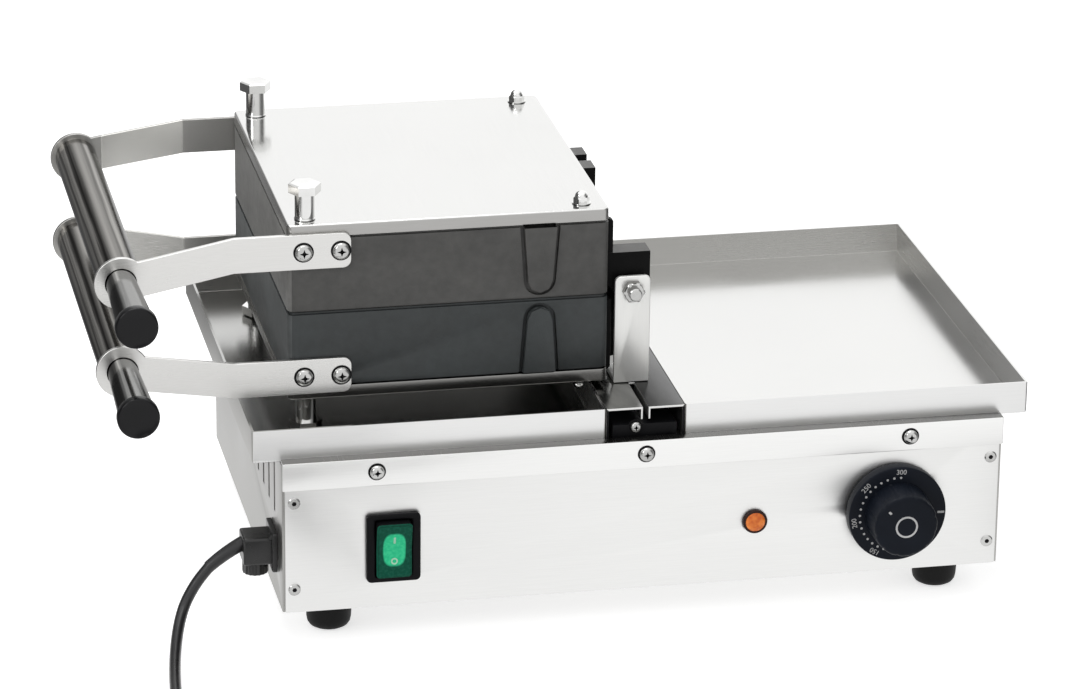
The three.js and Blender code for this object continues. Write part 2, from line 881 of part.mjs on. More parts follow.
// A hinge lug: an arm from the plate's edge with a round knuckle on the hinge axis.
function lug(front, width) {
  const shape = new THREE.Shape();
  const root = plateRight - bite;
  shape.moveTo(root, partingGap);
  shape.lineTo(-knuckleRadius, partingGap);
  shape.absarc(0, 0, knuckleRadius, Math.PI, 2 * Math.PI, false);
  shape.lineTo(knuckleRadius, lugHeight);
  shape.lineTo(root, lugHeight);
  const body = carried(shape, front, front + width);
  return cut(body, bar('y', pivotRadius + clearance, front - overrun, front + width + overrun, [0, 0]));
}

// The same lug mirrored to the rear of the plate.
function rearLug(front, width) {
  return lug(-front - width, width);
}

function cover() {
  const bottom = castingHeight + clearance;
  const front = plateFront;
  const outline = roundedRectangle(plateLeft, front, plateRight, front + plateDepth, castingCorner);
  const hollow = roundedRectangle(
    plateLeft + coverSheet, front + coverSheet,
    plateRight - coverSheet, front + plateDepth - coverSheet, castingCorner - coverSheet,
  );
  const inside = raised(hollow, bottom - overrun, coverTop - coverSheet);
  const shell = cut(raised(outline, bottom, coverTop), inside);
  const holes = [];
  for (const x of [standX, acornX]) {
    for (const side of [-1, 1]) {
      holes.push(bar('z', standShankRadius + clearance, bottom, coverTop + overrun,
        [x, side * boltY], holeSides));
    }
  }
  return cut(shell, ...holes);
}

// The heating rod winds to and fro over the back of the plate.
class ElementPath extends THREE.Curve {
  constructor() {
    super();
    const width = plateLength - 2 * (castingWall + elementMargin);
    this.turn = width / (elementRuns - 1) / 2;
    this.half = plateDepth / 2 - castingWall - elementMargin - this.turn;
    this.left = plateMiddle - width / 2;
    this.run = 2 * this.half;
    this.arc = Math.PI * this.turn;
  }

  getPoint(t, target = new THREE.Vector3()) {
    const total = elementRuns * this.run + (elementRuns - 1) * this.arc;
    const along = t * total;
    const leg = Math.min(Math.floor(along / (this.run + this.arc)), elementRuns - 1);
    const rest = along - leg * (this.run + this.arc);
    const way = leg % 2 === 0 ? 1 : -1;
    const x = this.left + leg * 2 * this.turn;
    const z = castingFloor + clearance + elementRadius;
    if (rest <= this.run) {
      return target.set(x, way * (rest - this.half), z);
    }
    const angle = (rest - this.run) / this.turn;
    return target.set(
      x + this.turn * (1 - Math.cos(angle)),
      way * (this.half + this.turn * Math.sin(angle)),
      z,
    );
  }
}

// A round tube of the given number of sides along a path, closed at both ends.
function tubeAlong(path, radius, sides, stations) {
  const frames = stations.map((t) => ({ at: path.getPoint(t), along: path.getTangent(t).normalize() }));
  const positions = [];
  const rings = [];
  let across = new THREE.Vector3(0, 0, 1);
  for (const { at, along } of frames) {
    across = across.clone().addScaledVector(along, -across.dot(along)).normalize();
    const other = new THREE.Vector3().crossVectors(along, across);
    const ring = [];
    for (let side = 0; side < sides; side += 1) {
      const angle = 2 * Math.PI * side / sides;
      ring.push(at.clone()
        .addScaledVector(across, radius * Math.cos(angle))
        .addScaledVector(other, radius * Math.sin(angle)));
    }
    rings.push(ring);
  }
  const triangle = (a, b, c) => positions.push(...a.toArray(), ...b.toArray(), ...c.toArray());
  for (let step = 0; step < rings.length - 1; step += 1) {
    for (let side = 0; side < sides; side += 1) {
      const next = (side + 1) % sides;
      triangle(rings[step][side], rings[step][next], rings[step + 1][next]);
      triangle(rings[step][side], rings[step + 1][next], rings[step + 1][side]);
    }
  }
  const last = rings[rings.length - 1];
  for (let side = 1; side < sides - 1; side += 1) {
    triangle(rings[0][0], rings[0][side + 1], rings[0][side]);
    triangle(last[0], last[side], last[side + 1]);
  }
  const geometry = new THREE.BufferGeometry();
  geometry.setAttribute('position', new THREE.Float32BufferAttribute(positions, 3));
  geometry.computeVertexNormals();
  return geometry;
}

function evenStations(steps) {
  return Array.from({ length: steps + 1 }, (_, index) => index / steps);
}

function heatingElement() {
  const path = new ElementPath();
  const total = elementRuns * path.run + (elementRuns - 1) * path.arc;
  const stations = [];
  for (let leg = 0; leg < elementRuns; leg += 1) {
    const start = leg * (path.run + path.arc);
    stations.push(start / total);
    const turns = leg < elementRuns - 1 ? elementTurnSteps : 1;
    for (let step = 0; step < turns; step += 1) {
      stations.push((start + path.run + path.arc * step / elementTurnSteps) / total);
    }
  }
  return solid(tubeAlong(path, elementRadius, elementSides, stations));
}

// The tall stands carry the plates in the trays; each is screwed down through the cover.
function stand() {
  return turned([
    [0, -standShankLength],
    [standShankRadius, -standShankLength],
    [standShankRadius, clearance],
    [standShaftRadius, clearance],
    [standShaftRadius, standHeight - standHeadDepth],
    [standHeadRadius, standHeight - standHeadDepth],
    [standHeadRadius, standHeight - standHeadChamfer],
    [standHeadRadius - standHeadChamfer, standHeight],
    [0, standHeight],
  ]);
}

function acornNut() {
  const profile = [
    [0, -standShankLength],
    [standShankRadius, -standShankLength],
    [standShankRadius, clearance],
    [acornRadius, clearance],
    [acornRadius, acornCollar],
  ];
  for (let step = 1; step <= cornerSteps; step += 1) {
    const angle = Math.PI / 2 * step / cornerSteps;
    const height = acornCollar + (acornRise - acornCollar) * Math.sin(angle);
    profile.push([acornRadius * Math.cos(angle), height]);
  }
  profile[profile.length - 1][0] = 0;
  return turned(profile, smallSides);
}

// A handle strip: screwed flat on the plate, bent outwards, and ending in an eye for the rod.
function strip(end) {
  const half = stripHeight / 2;
  const bend = plateLeft - stripReach;
  const eyeEdge = eyeX + eyeRadius;
  const slope = (stripRise - eyeRise) / (bend - eyeX);
  const centre = (x) => stripRise - slope * Math.max(0, bend - x);
  const stretch = (right, left) => polygon([
    [right, centre(right) - half],
    [right, centre(right) + half],
    [left, centre(left) + half],
    [left, centre(left) - half],
  ]);
  const sheet = (shape, middle) => carried(shape, middle - stripSheet / 2, middle + stripSheet / 2);
  const through = (radius, middle, at, sides) => (
    bar('y', radius, middle - stripSheet, middle + stripSheet, at, sides)
  );

  const plateMiddlePlane = end * (stripFace + stripSheet / 2);
  const flat = roundedRectangle(
    bend - bite - stripCorner, stripRise - half,
    plateLeft + stripLap, stripRise + half, stripCorner,
  );
  const roundedLeft = block(
    [bend - bite - stripHeight, plateMiddlePlane - stripHeight, stripRise - stripHeight],
    [bend - bite, plateMiddlePlane + stripHeight, stripRise + stripHeight],
  );
  const flatPart = cut(sheet(flat, plateMiddlePlane), roundedLeft);
  const link = leaned(sheet(stretch(bend, eyeEdge), plateMiddlePlane), bend, eyeEdge, end);

  const eyeMiddle = end * eyePlane;
  const neck = sheet(stretch(eyeEdge + bite, eyeX), eyeMiddle);
  const eye = bar('y', eyeRadius, eyeMiddle - stripSheet / 2, eyeMiddle + stripSheet / 2,
    [eyeX, eyeRise]);
  const bore = through(rodRadius + clearance, eyeMiddle, [eyeX, eyeRise], roundSides);
  const holes = screwX.map((x) => (
    through(screwRadius + clearance, plateMiddlePlane, [x, stripRise], holeSides)
  ));
  return cut(joined(flatPart, link, neck, eye), bore, ...holes);
}

// Moves a part sideways in proportion to its distance past a bend line.
function leaned(body, bend, eyeEdge, end) {
  const geometry = geometryOf(body);
  const position = geometry.attributes.position;
  for (let index = 0; index < position.count; index += 1) {
    const reach = Math.min(1, Math.max(0, (bend - position.getX(index)) / (bend - eyeEdge)));
    position.setY(index, position.getY(index) + end * stripFlare * reach);
  }
  return solid(geometry);
}

function stripScrew() {
  return turned([
    [0, -screwLength],
    [screwRadius, -screwLength],
    [screwRadius, screwSeat],
    [screwHeadRadius, screwSeat],
    [screwHeadRadius * headShoulderShare, screwSeat + screwHeadDepth * (1 - headRimShare)],
    [screwHeadRadius / 2, screwSeat + screwHeadDepth],
    [0, screwSeat + screwHeadDepth],
  ], smallSides);
}

// The rod runs through both eyes and flares out in front of the front one.
function rod() {
  const back = eyePlane + stripSheet / 2 + clearance;
  const front = -eyePlane - rodStub;
  return turnedAlongY([
    [0, front],
    [rodStubRadius, front],
    [rodRadius, -back],
    [rodRadius, back],
    [rodHeadRadius, back],
    [rodHeadRadius, back + rodHeadDepth],
    [0, back + rodHeadDepth],
  ]);
}

// The grip is a sleeve that turns on the rod between the eyes.
function grip() {
  const half = eyePlane - stripSheet / 2 - clearance;
  const bore = rodRadius + gripBoreGap;
  return turnedAlongY([
    [bore, -half],
    [gripRadius, -half],
    [gripRadius, half],
    [bore, half],
    [bore, -half],
  ]);
}

// The end cap is pushed over the flared end of the rod and has a slightly domed face.
function endCap() {
  const front = -eyePlane - rodStub;
  const bore = rodStubRadius + clearance;
  return turnedAlongY([
    [0, front - capDepth - capDome],
    [capRadius - capRim, front - capDepth],
    [capRadius, front - capDepth + capRim],
    [capRadius, front + capSocket],
    [bore, front + capSocket],
    [bore, front - clearance],
    [0, front - clearance],
  ]);
}

function gland() {
  const wall = -baseSide;
  const plateOut = wall - clearance - glandPlateDepth;
  const plate = block(
    [plateOut, glandY - glandPlateWidth / 2, glandHeight - glandPlateHeight / 2],
    [wall - clearance, glandY + glandPlateWidth / 2, glandHeight + glandPlateHeight / 2],
  );
  const body = block(
    [plateOut - glandBodyLength, glandY - glandBodyWidth / 2, glandHeight - glandBodyHeight / 2],
    [plateOut + bite, glandY + glandBodyWidth / 2, glandHeight + glandBodyHeight / 2],
  );
  const clamp = bar('z', glandClampRadius, glandHeight - glandBodyHeight / 2 - glandClampDrop, glandHeight,
    [plateOut - glandClampSetback, glandY], smallSides);
  const thread = bar('x', glandThreadRadius, wall - clearance - bite, wall + glandThreadLength,
    [glandY, glandHeight], smallSides);
  return joined(plate, body, clamp, thread);
}

// The strain relief droops a little out of the gland, and the cord goes on from its tip.
function strainRelief() {
  const sleeve = new THREE.CylinderGeometry(
    sleeveTipRadius, sleeveRadius, sleeveLength - clearance, smallSides);
  const turnTo = new THREE.Quaternion().setFromUnitVectors(new THREE.Vector3(0, 1, 0), sleeveWay);
  sleeve.applyQuaternion(turnTo);
  const centre = glandMouth.clone().addScaledVector(sleeveWay, (sleeveLength + clearance) / 2);
  sleeve.translate(centre.x, centre.y, centre.z);
  return solid(sleeve);
}

// The free stretch: straight out of the sleeve, down to the counter and forwards to the coil.
function cordStretch() {
  const start = sleeveTip.clone().addScaledVector(sleeveWay, clearance);
  const straight = start.clone().addScaledVector(sleeveWay, cordRadius);
  const coilStart = coilPath.getPoint(0);
  const end = coilStart.clone().setY(coilStart.y + clearance);
  const lead = end.clone().setY(end.y + 2 * cordRadius);
  const points = [start, straight, ...cordRoute.map(([x, y, z]) => new THREE.Vector3(x, y, z)), lead, end];
  const path = new THREE.CatmullRomCurve3(points, false, 'centripetal');
  const length = path.getLength();
  const stations = evenStations(cordSteps).map((share) => path.getUtoTmapping(share));
  console.log(`cord stretch ${length.toFixed(1)} mm`);
  return tubeAlong(path, cordRadius, cordSides, stations);
}

// The coil spirals in on the counter, climbs a layer where it turns back, and spirals out again on top.
// It then runs straight to the plug.
class CoilPath extends THREE.Curve {
  constructor() {
    super();
    this.inward = coilTurnsIn + coilClimb / 2;
    this.turns = coilTurnsIn + coilClimb + coilTurnsOut;
    this.bottom = tieSheet + clearance + cordRadius;
    this.least = coilRadius - coilPitch * this.inward;
    this.sweep = this.turns * 2 * Math.PI * coilRadius;
    this.span = coilLeadIn + this.sweep + coilLeadOut;
  }

  getPoint(t, target = new THREE.Vector3()) {
    const along = t * this.span;
    if (along < coilLeadIn) {
      return target.set(coilX - coilRadius, coilY + coilLeadIn - along, this.bottom);
    }
    const turn = Math.min((along - coilLeadIn) / this.sweep, 1) * this.turns;
    const angle = Math.PI + 2 * Math.PI * turn;
    const radius = this.least + coilPitch * Math.abs(turn - this.inward);
    const climb = THREE.MathUtils.smoothstep(turn, coilTurnsIn, coilTurnsIn + coilClimb);
    const rest = Math.max(0, along - coilLeadIn - this.sweep);
    const rise = THREE.MathUtils.smoothstep(rest, 0, coilLeadOut - coilLeadIn);
    const top = this.bottom + coilPitch * climb;
    return target.set(
      coilX + radius * Math.cos(angle) + rest,
      coilY + radius * Math.sin(angle),
      top + (plugRadius - top) * rise,
    );
  }

  stations() {
    const list = [0];
    const steps = Math.round(this.turns * coilStepsPerTurn);
    for (let step = 0; step <= steps; step += 1) {
      list.push((coilLeadIn + this.sweep * step / steps) / this.span);
    }
    for (let step = 1; step <= coilLeadSteps; step += 1) {
      list.push((coilLeadIn + this.sweep + coilLeadOut * step / coilLeadSteps) / this.span);
    }
    return list;
  }
}

const coilPath = new CoilPath();

// The least room between two stretches of the coil that aren't next to each other.
function leastGap(path) {
  const count = Math.round(path.turns * coilStepsPerTurn) * cornerSteps;
  const points = evenStations(count).map((share) => path.getPoint(share));
  const apart = Math.ceil(count / path.turns / 2);
  let least = Infinity;
  points.forEach((point, index) => {
    for (let other = index + apart; other < points.length; other += 1) {
      least = Math.min(least, point.distanceTo(points[other]));
    }
  });
  return least - 2 * cordRadius;
}

function cordCoil() {
  const length = coilPath.getLength();
  console.log(`coil ${length.toFixed(1)} mm, least gap to itself ${leastGap(coilPath).toFixed(2)} mm`);
  return tubeAlong(coilPath, cordRadius, coilSides, coilPath.stations());
}

// A strap round the bundle of turns, at the side where the cord comes in.
function cordTie() {
  const outerTurn = coilRadius + cordRadius;
  const innerTurn = coilRadius - Math.floor(coilTurnsIn) * coilPitch - cordRadius;
  const low = coilPath.bottom - cordRadius;
  const high = coilPath.bottom + coilPitch + cordRadius;
  const half = tieWidth / 2;
  const hole = block(
    [coilX - outerTurn - tieGap, coilY - half - overrun, low - clearance],
    [coilX - innerTurn + tieGap, coilY + half + overrun, high + tieGap],
  );
  const outside = block(
    [coilX - outerTurn - tieGap - tieSheet, coilY - half, 0],
    [coilX - innerTurn + tieGap + tieSheet, coilY + half, high + tieGap + tieSheet],
  );
  return cut(outside, hole);
}

// The plug lies on the counter at the end of the cord, its pins pointing away from the coil.
function plug() {
  const end = coilPath.getPoint(1);
  const start = end.x + clearance;
  const shoulder = start + plugNeckLength;
  const face = shoulder + plugShoulder + plugLength;
  const body = turnedAlongY([
    [0, start],
    [plugNeckRadius, start],
    [plugNeckBase, shoulder],
    [plugShoulderRadius, shoulder],
    [plugRadius, shoulder + plugShoulder],
    [plugRadius, face],
    [0, face],
  ]);
  const pins = [-1, 1].map((side) => bar('y', plugPinRadius, face - bite, face + plugPinLength,
    [0, side * plugPinPitch / 2], smallSides));
  const geometry = geometryOf(joined(body, ...pins));
  geometry.rotateZ(-Math.PI / 2);
  geometry.translate(0, end.y, end.z);
  return solid(geometry);
}

function addBase() {
  place(base, 'base_housing', housing(), steel);
  place(base, 'front_panel', panel(), steel);
  place(base, 'front_trim', frontTrim(), steel);
  place(base, 'bottom_plate', bottomPlate(), steel);
  place(base, 'tray_left', tray(-1), steel);
  place(base, 'tray_right', tray(1), steel);
  place(base, 'hinge_bridge', bridge(), polished);
  place(base, 'hinge_bar', hingeBar(), darkSteel);
  const footX = baseSide - footSideInset;
  const feet = {
    foot_front_left: [-footX, panelFront + footEndInset],
    foot_front_right: [footX, panelFront + footEndInset],
    foot_rear_left: [-footX, baseBack - footEndInset],
    foot_rear_right: [footX, baseBack - footEndInset],
  };
  for (const [name, [x, y]] of Object.entries(feet)) {
    place(base, name, foot(), rubber, [x, y, 0]);
  }
  place(base, 'hinge_bracket_front', bracket(), polished);
  place(base, 'pivot_bolt_front', pivotBolt(innerLugStart), polished, [0, 0, hingeHeight]);
  const rearBracket = place(base, 'hinge_bracket_rear', bracket(), polished);
  rearBracket.rotation.z = Math.PI;
  const rearHeadStart = innerLugStart + lugWidth + clearance;
  const rearBolt = place(base, 'pivot_bolt_rear', pivotBolt(rearHeadStart), polished, [0, 0, hingeHeight]);
  rearBolt.rotation.z = Math.PI;
}

function addControls() {
  place(base, 'switch_housing', switchHousing(), blackPlastic);
  const pivotY = panelFront - clearance + rockerPivotDepth;
  const button = place(base, 'switch_rocker', rocker(), greenPlastic,
    [-switchOffset, pivotY, controlHeight]);
  button.rotation.x = rockerTilt / 2;
  place(base, 'pilot_lamp', pilotLamp(), amberPlastic, [lampOffset, 0, controlHeight]);
  place(base, 'thermostat_knob', knob(), blackPlastic, [knobOffset, panelFront, knobHeight]);
  place(base, 'thermostat_body', thermostat(), ceramic);
  place(base, 'terminal_block', terminalBlock(), ceramic);
}

// Both plates carry the same pieces; the lower one has them upside down.
function addPlate(group, label, up, lugs) {
  const turn = (body) => (up ? body : flipped(body));
  const way = up ? 1 : -1;
  place(group, `${label}_casting`, turn(casting(lugs)), iron);
  place(group, `${label}_cover`, turn(cover()), steel);
  place(group, `${label}_element`, turn(heatingElement()), darkSteel);
  for (const [where, end] of [['front', -1], ['rear', 1]]) {
    place(group, `${label}_stand_${where}`, turn(stand()), polished,
      [standX, end * boltY, way * coverTop]);
    place(group, `${label}_nut_${where}`, turn(acornNut()), polished,
      [acornX, end * boltY, way * coverTop]);
    place(group, `${label}_strip_${where}`, turn(strip(end)), steel);
    screwX.forEach((x, index) => {
      const screw = place(group, `${label}_screw_${where}_${index + 1}`, stripScrew(), polished,
        [x, end * plateDepth / 2, way * stripRise]);
      screw.rotation.x = -end * Math.PI / 2;
    });
  }
  const handle = new THREE.Group();
  handle.position.set(eyeX, 0, way * eyeRise);
  group.add(handle);
  place(handle, `${label}_rod`, rod(), polished);
  place(handle, `${label}_grip`, grip(), polished);
  place(handle, `${label}_end_cap`, endCap(), blackPlastic);
}

addBase();
addControls();
lowerPlate.position.z = hingeHeight;
upperPlate.position.z = hingeHeight;
addPlate(lowerPlate, 'lower', false, [lug(tongueStart, tongueWidth), rearLug(tongueStart, tongueWidth)]);
addPlate(upperPlate, 'upper', true, [
  lug(lugStart, lugWidth),
  rearLug(lugStart, lugWidth),
  rearLug(innerLugStart, lugWidth),
]);
place(base, 'cord_gland', gland(), blackPlastic);
place(cordGroup, 'strain_relief', strainRelief(), rubber);
place(cordGroup, 'cord', cordStretch(), rubber);
place(cordGroup, 'cord_coil', cordCoil(), rubber);
place(cordGroup, 'cord_tie', cordTie(), strap);
place(cordGroup, 'plug', plug(), rubber);

// The frame's origin moves to the middle of the footprint of everything but the cord.
machine.updateMatrixWorld(true);
const bounds = new THREE.Box3();
for (const group of [base, lowerPlate, upperPlate]) {
  bounds.expandByObject(group, true);
}
const middle = bounds.getCenter(new THREE.Vector3());
machine.position.set(-middle.x, -middle.y, -bounds.min.z);

export default machine;
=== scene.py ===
import math

import bmesh
import bpy
from mathutils import Matrix, Vector


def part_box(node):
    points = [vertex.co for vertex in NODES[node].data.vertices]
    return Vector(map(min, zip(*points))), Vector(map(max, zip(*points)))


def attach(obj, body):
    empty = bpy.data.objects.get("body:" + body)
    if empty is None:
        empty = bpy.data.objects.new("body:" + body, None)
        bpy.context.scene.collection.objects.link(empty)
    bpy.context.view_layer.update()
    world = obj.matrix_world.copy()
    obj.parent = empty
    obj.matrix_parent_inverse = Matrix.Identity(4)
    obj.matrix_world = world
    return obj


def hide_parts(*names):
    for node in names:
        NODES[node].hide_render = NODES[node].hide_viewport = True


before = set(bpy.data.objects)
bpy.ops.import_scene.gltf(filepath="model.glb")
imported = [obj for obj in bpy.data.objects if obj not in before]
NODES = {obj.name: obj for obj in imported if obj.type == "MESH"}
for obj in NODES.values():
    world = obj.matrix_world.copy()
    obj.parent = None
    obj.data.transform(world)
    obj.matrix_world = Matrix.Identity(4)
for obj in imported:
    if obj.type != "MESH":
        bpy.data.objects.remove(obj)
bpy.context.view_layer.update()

MM = 0.001

# Camera, solved from the corners of the trays, the front panel and the cover
IMAGE_WIDTH = 1080
CAMERA_FOCAL = 4893.2
SENSOR_WIDTH = 36.0
CAMERA_TILT = 0.364637
CAMERA_YAW = -0.205546
CAMERA_ROLL = 0.0122844
TRAY_CORNER_SEEN = Vector((-171.26, 52.13, 2906.16))

# Finish of the meshes
TURN_STEPS = 64
SMALL_STEPS = 36
CORNER_STEPS = 6
ROUND_STEPS = 4
CURVE_STEPS = 5
LEAST_CORNER = 0.05
MERGE_REACH = 1e-6
SHARP_ANGLE = math.radians(32)
FLAT_ANGLE = math.radians(1)
FACING = 0.5
CLEARANCE = 0.3
EDGE_ROUND = 0.6

# Places read from the frame
bridge_low, bridge_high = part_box("hinge_bridge")
tray_low, tray_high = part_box("tray_left")
ORIGIN = Vector(((bridge_low.x + bridge_high.x) / 2, (tray_low.y + tray_high.y) / 2, 0))


def box(node):
    """The corners of a CAD node in millimetres from the hinge's place on the counter."""
    low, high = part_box(node)
    return (low - ORIGIN) / MM, (high - ORIGIN) / MM


def middle(node):
    low, high = box(node)
    return (low + high) / 2


def half(node):
    """Half a CAD node's size in millimetres."""
    low, high = box(node)
    return (high - low) / 2


def in_frame(point):
    """A point in millimetres as a place in the frame."""
    return ORIGIN + Vector(point) * MM


def in_scene(name, data):
    """An object with the given data, linked to the scene."""
    thing = bpy.data.objects.new(name, data)
    bpy.context.scene.collection.objects.link(thing)
    return thing


HINGE_HEIGHT = middle("pivot_bolt_front").z
PANEL_FACE = box("front_panel")[0].y


# Camera
def aim_camera():
    """Stands the camera where the photograph was taken from."""
    cos_tilt, sin_tilt = math.cos(CAMERA_TILT), math.sin(CAMERA_TILT)
    cos_yaw, sin_yaw = math.cos(CAMERA_YAW), math.sin(CAMERA_YAW)
    cos_roll, sin_roll = math.cos(CAMERA_ROLL), math.sin(CAMERA_ROLL)
    level_right = Vector((cos_yaw, sin_yaw, 0))
    level_down = Vector((sin_yaw * sin_tilt, -cos_yaw * sin_tilt, -cos_tilt))
    forward = Vector((-sin_yaw * cos_tilt, cos_yaw * cos_tilt, -sin_tilt))
    right = cos_roll * level_right - sin_roll * level_down
    down = sin_roll * level_right + cos_roll * level_down
    corner = Vector((tray_low.x, tray_low.y, tray_high.z))
    seen = TRAY_CORNER_SEEN * MM
    place = corner - right * seen.x - down * seen.y - forward * seen.z
    data = bpy.data.cameras.new("camera")
    data.sensor_width = SENSOR_WIDTH
    data.lens = CAMERA_FOCAL / IMAGE_WIDTH * SENSOR_WIDTH
    camera = in_scene("camera", data)
    axes = Matrix((right, -down, -forward)).transposed().to_4x4()
    camera.matrix_world = Matrix.Translation(place) @ axes
    bpy.context.scene.camera = camera


aim_camera()


# Outlines and profiles
def rounded(points, radius):
    """A line through 2-D points with its corners rounded."""
    line = [points[0]]
    for before, corner, after in zip(points, points[1:], points[2:]):
        here = Vector(corner)
        back = Vector(before) - here
        on = Vector(after) - here
        reach = min(radius, back.length / 2, on.length / 2)
        start = here + back.normalized() * reach
        end = here + on.normalized() * reach
        for step in range(ROUND_STEPS + 1):
            share = step / ROUND_STEPS
            point = (1 - share) ** 2 * start + 2 * share * (1 - share) * here + share ** 2 * end
            line.append(tuple(point))
    return [*line, points[-1]]


def arc(centre, radius, start, end, steps=CORNER_STEPS):
    """Points on an arc, with its angles in degrees."""
    points = []
    for step in range(steps + 1):
        angle = math.radians(start + (end - start) * step / steps)
        points.append((centre[0] + radius * math.cos(angle), centre[1] + radius * math.sin(angle)))
    return points


def disc(radius, start, end):
    """The profile of a cylinder between two heights."""
    return [(0, start), (radius, start), (radius, end), (0, end)]


def hoop(inner, outer, start, end):
    """The section of a ring between two heights."""
    return [(outer, start), (outer, end), (inner, end), (inner, start)]


def shaped(profile, shape):
    """Gives every ring of a profile the same outline."""
    return [(radius, height, shape) for radius, height in profile]


def polygon(sides):
    """The outline of a regular polygon, with its corners at 1."""
    side = 2 * math.pi / sides

    def outline(angle):
        return math.cos(side / 2) / math.cos((angle % side) - side / 2)

    return outline


hexagon = polygon(6)


def eased(value):
    """A share from 0 to 1 that starts and ends gently."""
    share = min(max(value, 0), 1)
    return share * share * (3 - 2 * share)


# Places of forms, as matrices that lay a form's own axes where they belong
def along_y(x, y, z, way=1):
    """A turned form's own Z axis laid along Y, from the given place, backwards or forwards."""
    return Matrix.Translation((x, y, z)) @ Matrix.Rotation(-way * math.pi / 2, 4, "X")


def facing_front(x, y, z):
    """A form's own X, Y and height laid as X, Z and the way to the front."""
    return Matrix(((1, 0, 0, x), (0, 0, -1, y), (0, 1, 0, z), (0, 0, 0, 1)))


def facing_left(x, y, z):
    """A form's own X, Y and height laid as Y, Z and the way to the left."""
    return Matrix(((0, 0, -1, x), (-1, 0, 0, y), (0, 1, 0, z), (0, 0, 0, 1)))


# Meshes
def bridge_loops(mesh, first, second):
    """Faces between two rings of vertices, where a ring of one vertex is a tip."""
    count = max(len(first), len(second))
    for index in range(count):
        after = (index + 1) % count
        corners = []
        for ring, order in ((first, (index, after)), (second, (after, index))):
            if len(ring) == 1:
                corners.append(ring[0])
            else:
                corners.extend(ring[place] for place in order)
        mesh.faces.new(corners)


def turned(mesh, profile, place=Matrix(), steps=TURN_STEPS, closed=False):
    """Adds a turned form about Z. Each entry is a radius, a height and, if it isn't round, its shape."""
    rings = []
    for radius, height, *shape in profile:
        if radius == 0:
            rings.append([mesh.verts.new(place @ Vector((0, 0, height)))])
            continue
        ring = []
        for step in range(steps):
            angle = 2 * math.pi * step / steps
            reach = radius * (shape[0](angle) if shape else 1)
            point = Vector((reach * math.cos(angle), reach * math.sin(angle), height))
            ring.append(mesh.verts.new(place @ point))
        rings.append(ring)
    if closed:
        rings.append(rings[0])
    for first, second in zip(rings, rings[1:]):
        bridge_loops(mesh, first, second)
    return mesh


def rectangle_ring(low, high, corner, inset, height, place, wider=1):
    """Corners of a rounded rectangle that is set in from the given one, in X by more where it is wider."""
    radius = max(corner - inset, LEAST_CORNER)
    side = wider * inset + radius
    end = inset + radius
    points = []
    for x, y, start in (
        (high[0] - side, high[1] - end, 0),
        (low[0] + side, high[1] - end, 90),
        (low[0] + side, low[1] + end, 180),
        (high[0] - side, low[1] + end, 270),
    ):
        points.extend(arc((x, y), radius, start, start + 90))
    return [place @ Vector((x, y, height)) for x, y in points]


def box_shell(mesh, low, high, corner, profile, place=Matrix(), closed=False, wider=1):
    """Adds a form with rounded-rectangle sections. Each entry of the profile is an inset and a height."""
    rings = []
    for inset, height in profile:
        ring = rectangle_ring(low, high, corner, inset, height, place, wider)
        rings.append([mesh.verts.new(point) for point in ring])
    for first, second in zip(rings, rings[1:]):
        bridge_loops(mesh, first, second)
    if closed:
        bridge_loops(mesh, rings[-1], rings[0])
    else:
        mesh.faces.new(rings[0])
        mesh.faces.new(rings[-1])
    return mesh


def slab(outline, start, end, place=Matrix()):
    """An outline in X and Y, raised from one height to another."""
    mesh = bmesh.new()
    rings = []
    for height in (start, end):
        rings.append([mesh.verts.new(place @ Vector((x, y, height))) for x, y in outline])
    bridge_loops(mesh, *rings)
    for ring in rings:
        mesh.faces.new(ring)
    return mesh


def sliced(mesh, place, axis):
    """Cuts the faces of a mesh in two at a plane, for a bend there."""
    geometry = [*mesh.verts, *mesh.edges, *mesh.faces]
    bmesh.ops.bisect_plane(mesh, geom=geometry, plane_co=place, plane_no=axis)


# Objects
def raw_object(name, mesh):
    """A Blender object from a mesh in millimetres, with its faces pointing out."""
    bmesh.ops.recalc_face_normals(mesh, faces=mesh.faces)
    data = bpy.data.meshes.new(name)
    mesh.to_mesh(data)
    mesh.free()
    data.transform(Matrix.Translation(ORIGIN) @ Matrix.Scale(MM, 4))
    return in_scene(name, data)


def smoothed(thing, angle=SHARP_ANGLE):
    """Shades a mesh smooth but for its real edges."""
    thing.data.polygons.foreach_set("use_smooth", [True] * len(thing.data.polygons))
    thing.data.set_sharp_from_angle(angle=angle)
    return thing


def bevelled(thing, width, segments=2):
    """Rounds the edges of a piece a little."""
    thing.data.polygons.foreach_set("use_smooth", [True] * len(thing.data.polygons))
    weld = thing.modifiers.new("weld", "WELD")
    weld.merge_threshold = MERGE_REACH
    flat = thing.modifiers.new("flat", "DECIMATE")
    flat.decimate_type = "DISSOLVE"
    flat.angle_limit = FLAT_ANGLE
    flat.delimit = {"NORMAL", "MATERIAL"}
    bevel = thing.modifiers.new("bevel", "BEVEL")
    bevel.width = width * MM
    bevel.segments = segments
    bevel.limit_method = "ANGLE"
    bevel.angle_limit = SHARP_ANGLE
    bevel.harden_normals = True
    return thing


def evaluated_mesh(thing):
    """A mesh of an object as its modifiers leave it."""
    seen = thing.evaluated_get(bpy.context.evaluated_depsgraph_get())
    return bpy.data.meshes.new_from_object(seen)


def cut(thing, tool):
    """Cuts one object with another, which is used up."""
    change = thing.modifiers.new("boolean", "BOOLEAN")
    change.object = tool
    change.operation = "DIFFERENCE"
    change.solver = "EXACT"
    data = evaluated_mesh(thing)
    thing.modifiers.clear()
    thing.data = data
    bpy.data.objects.remove(tool)


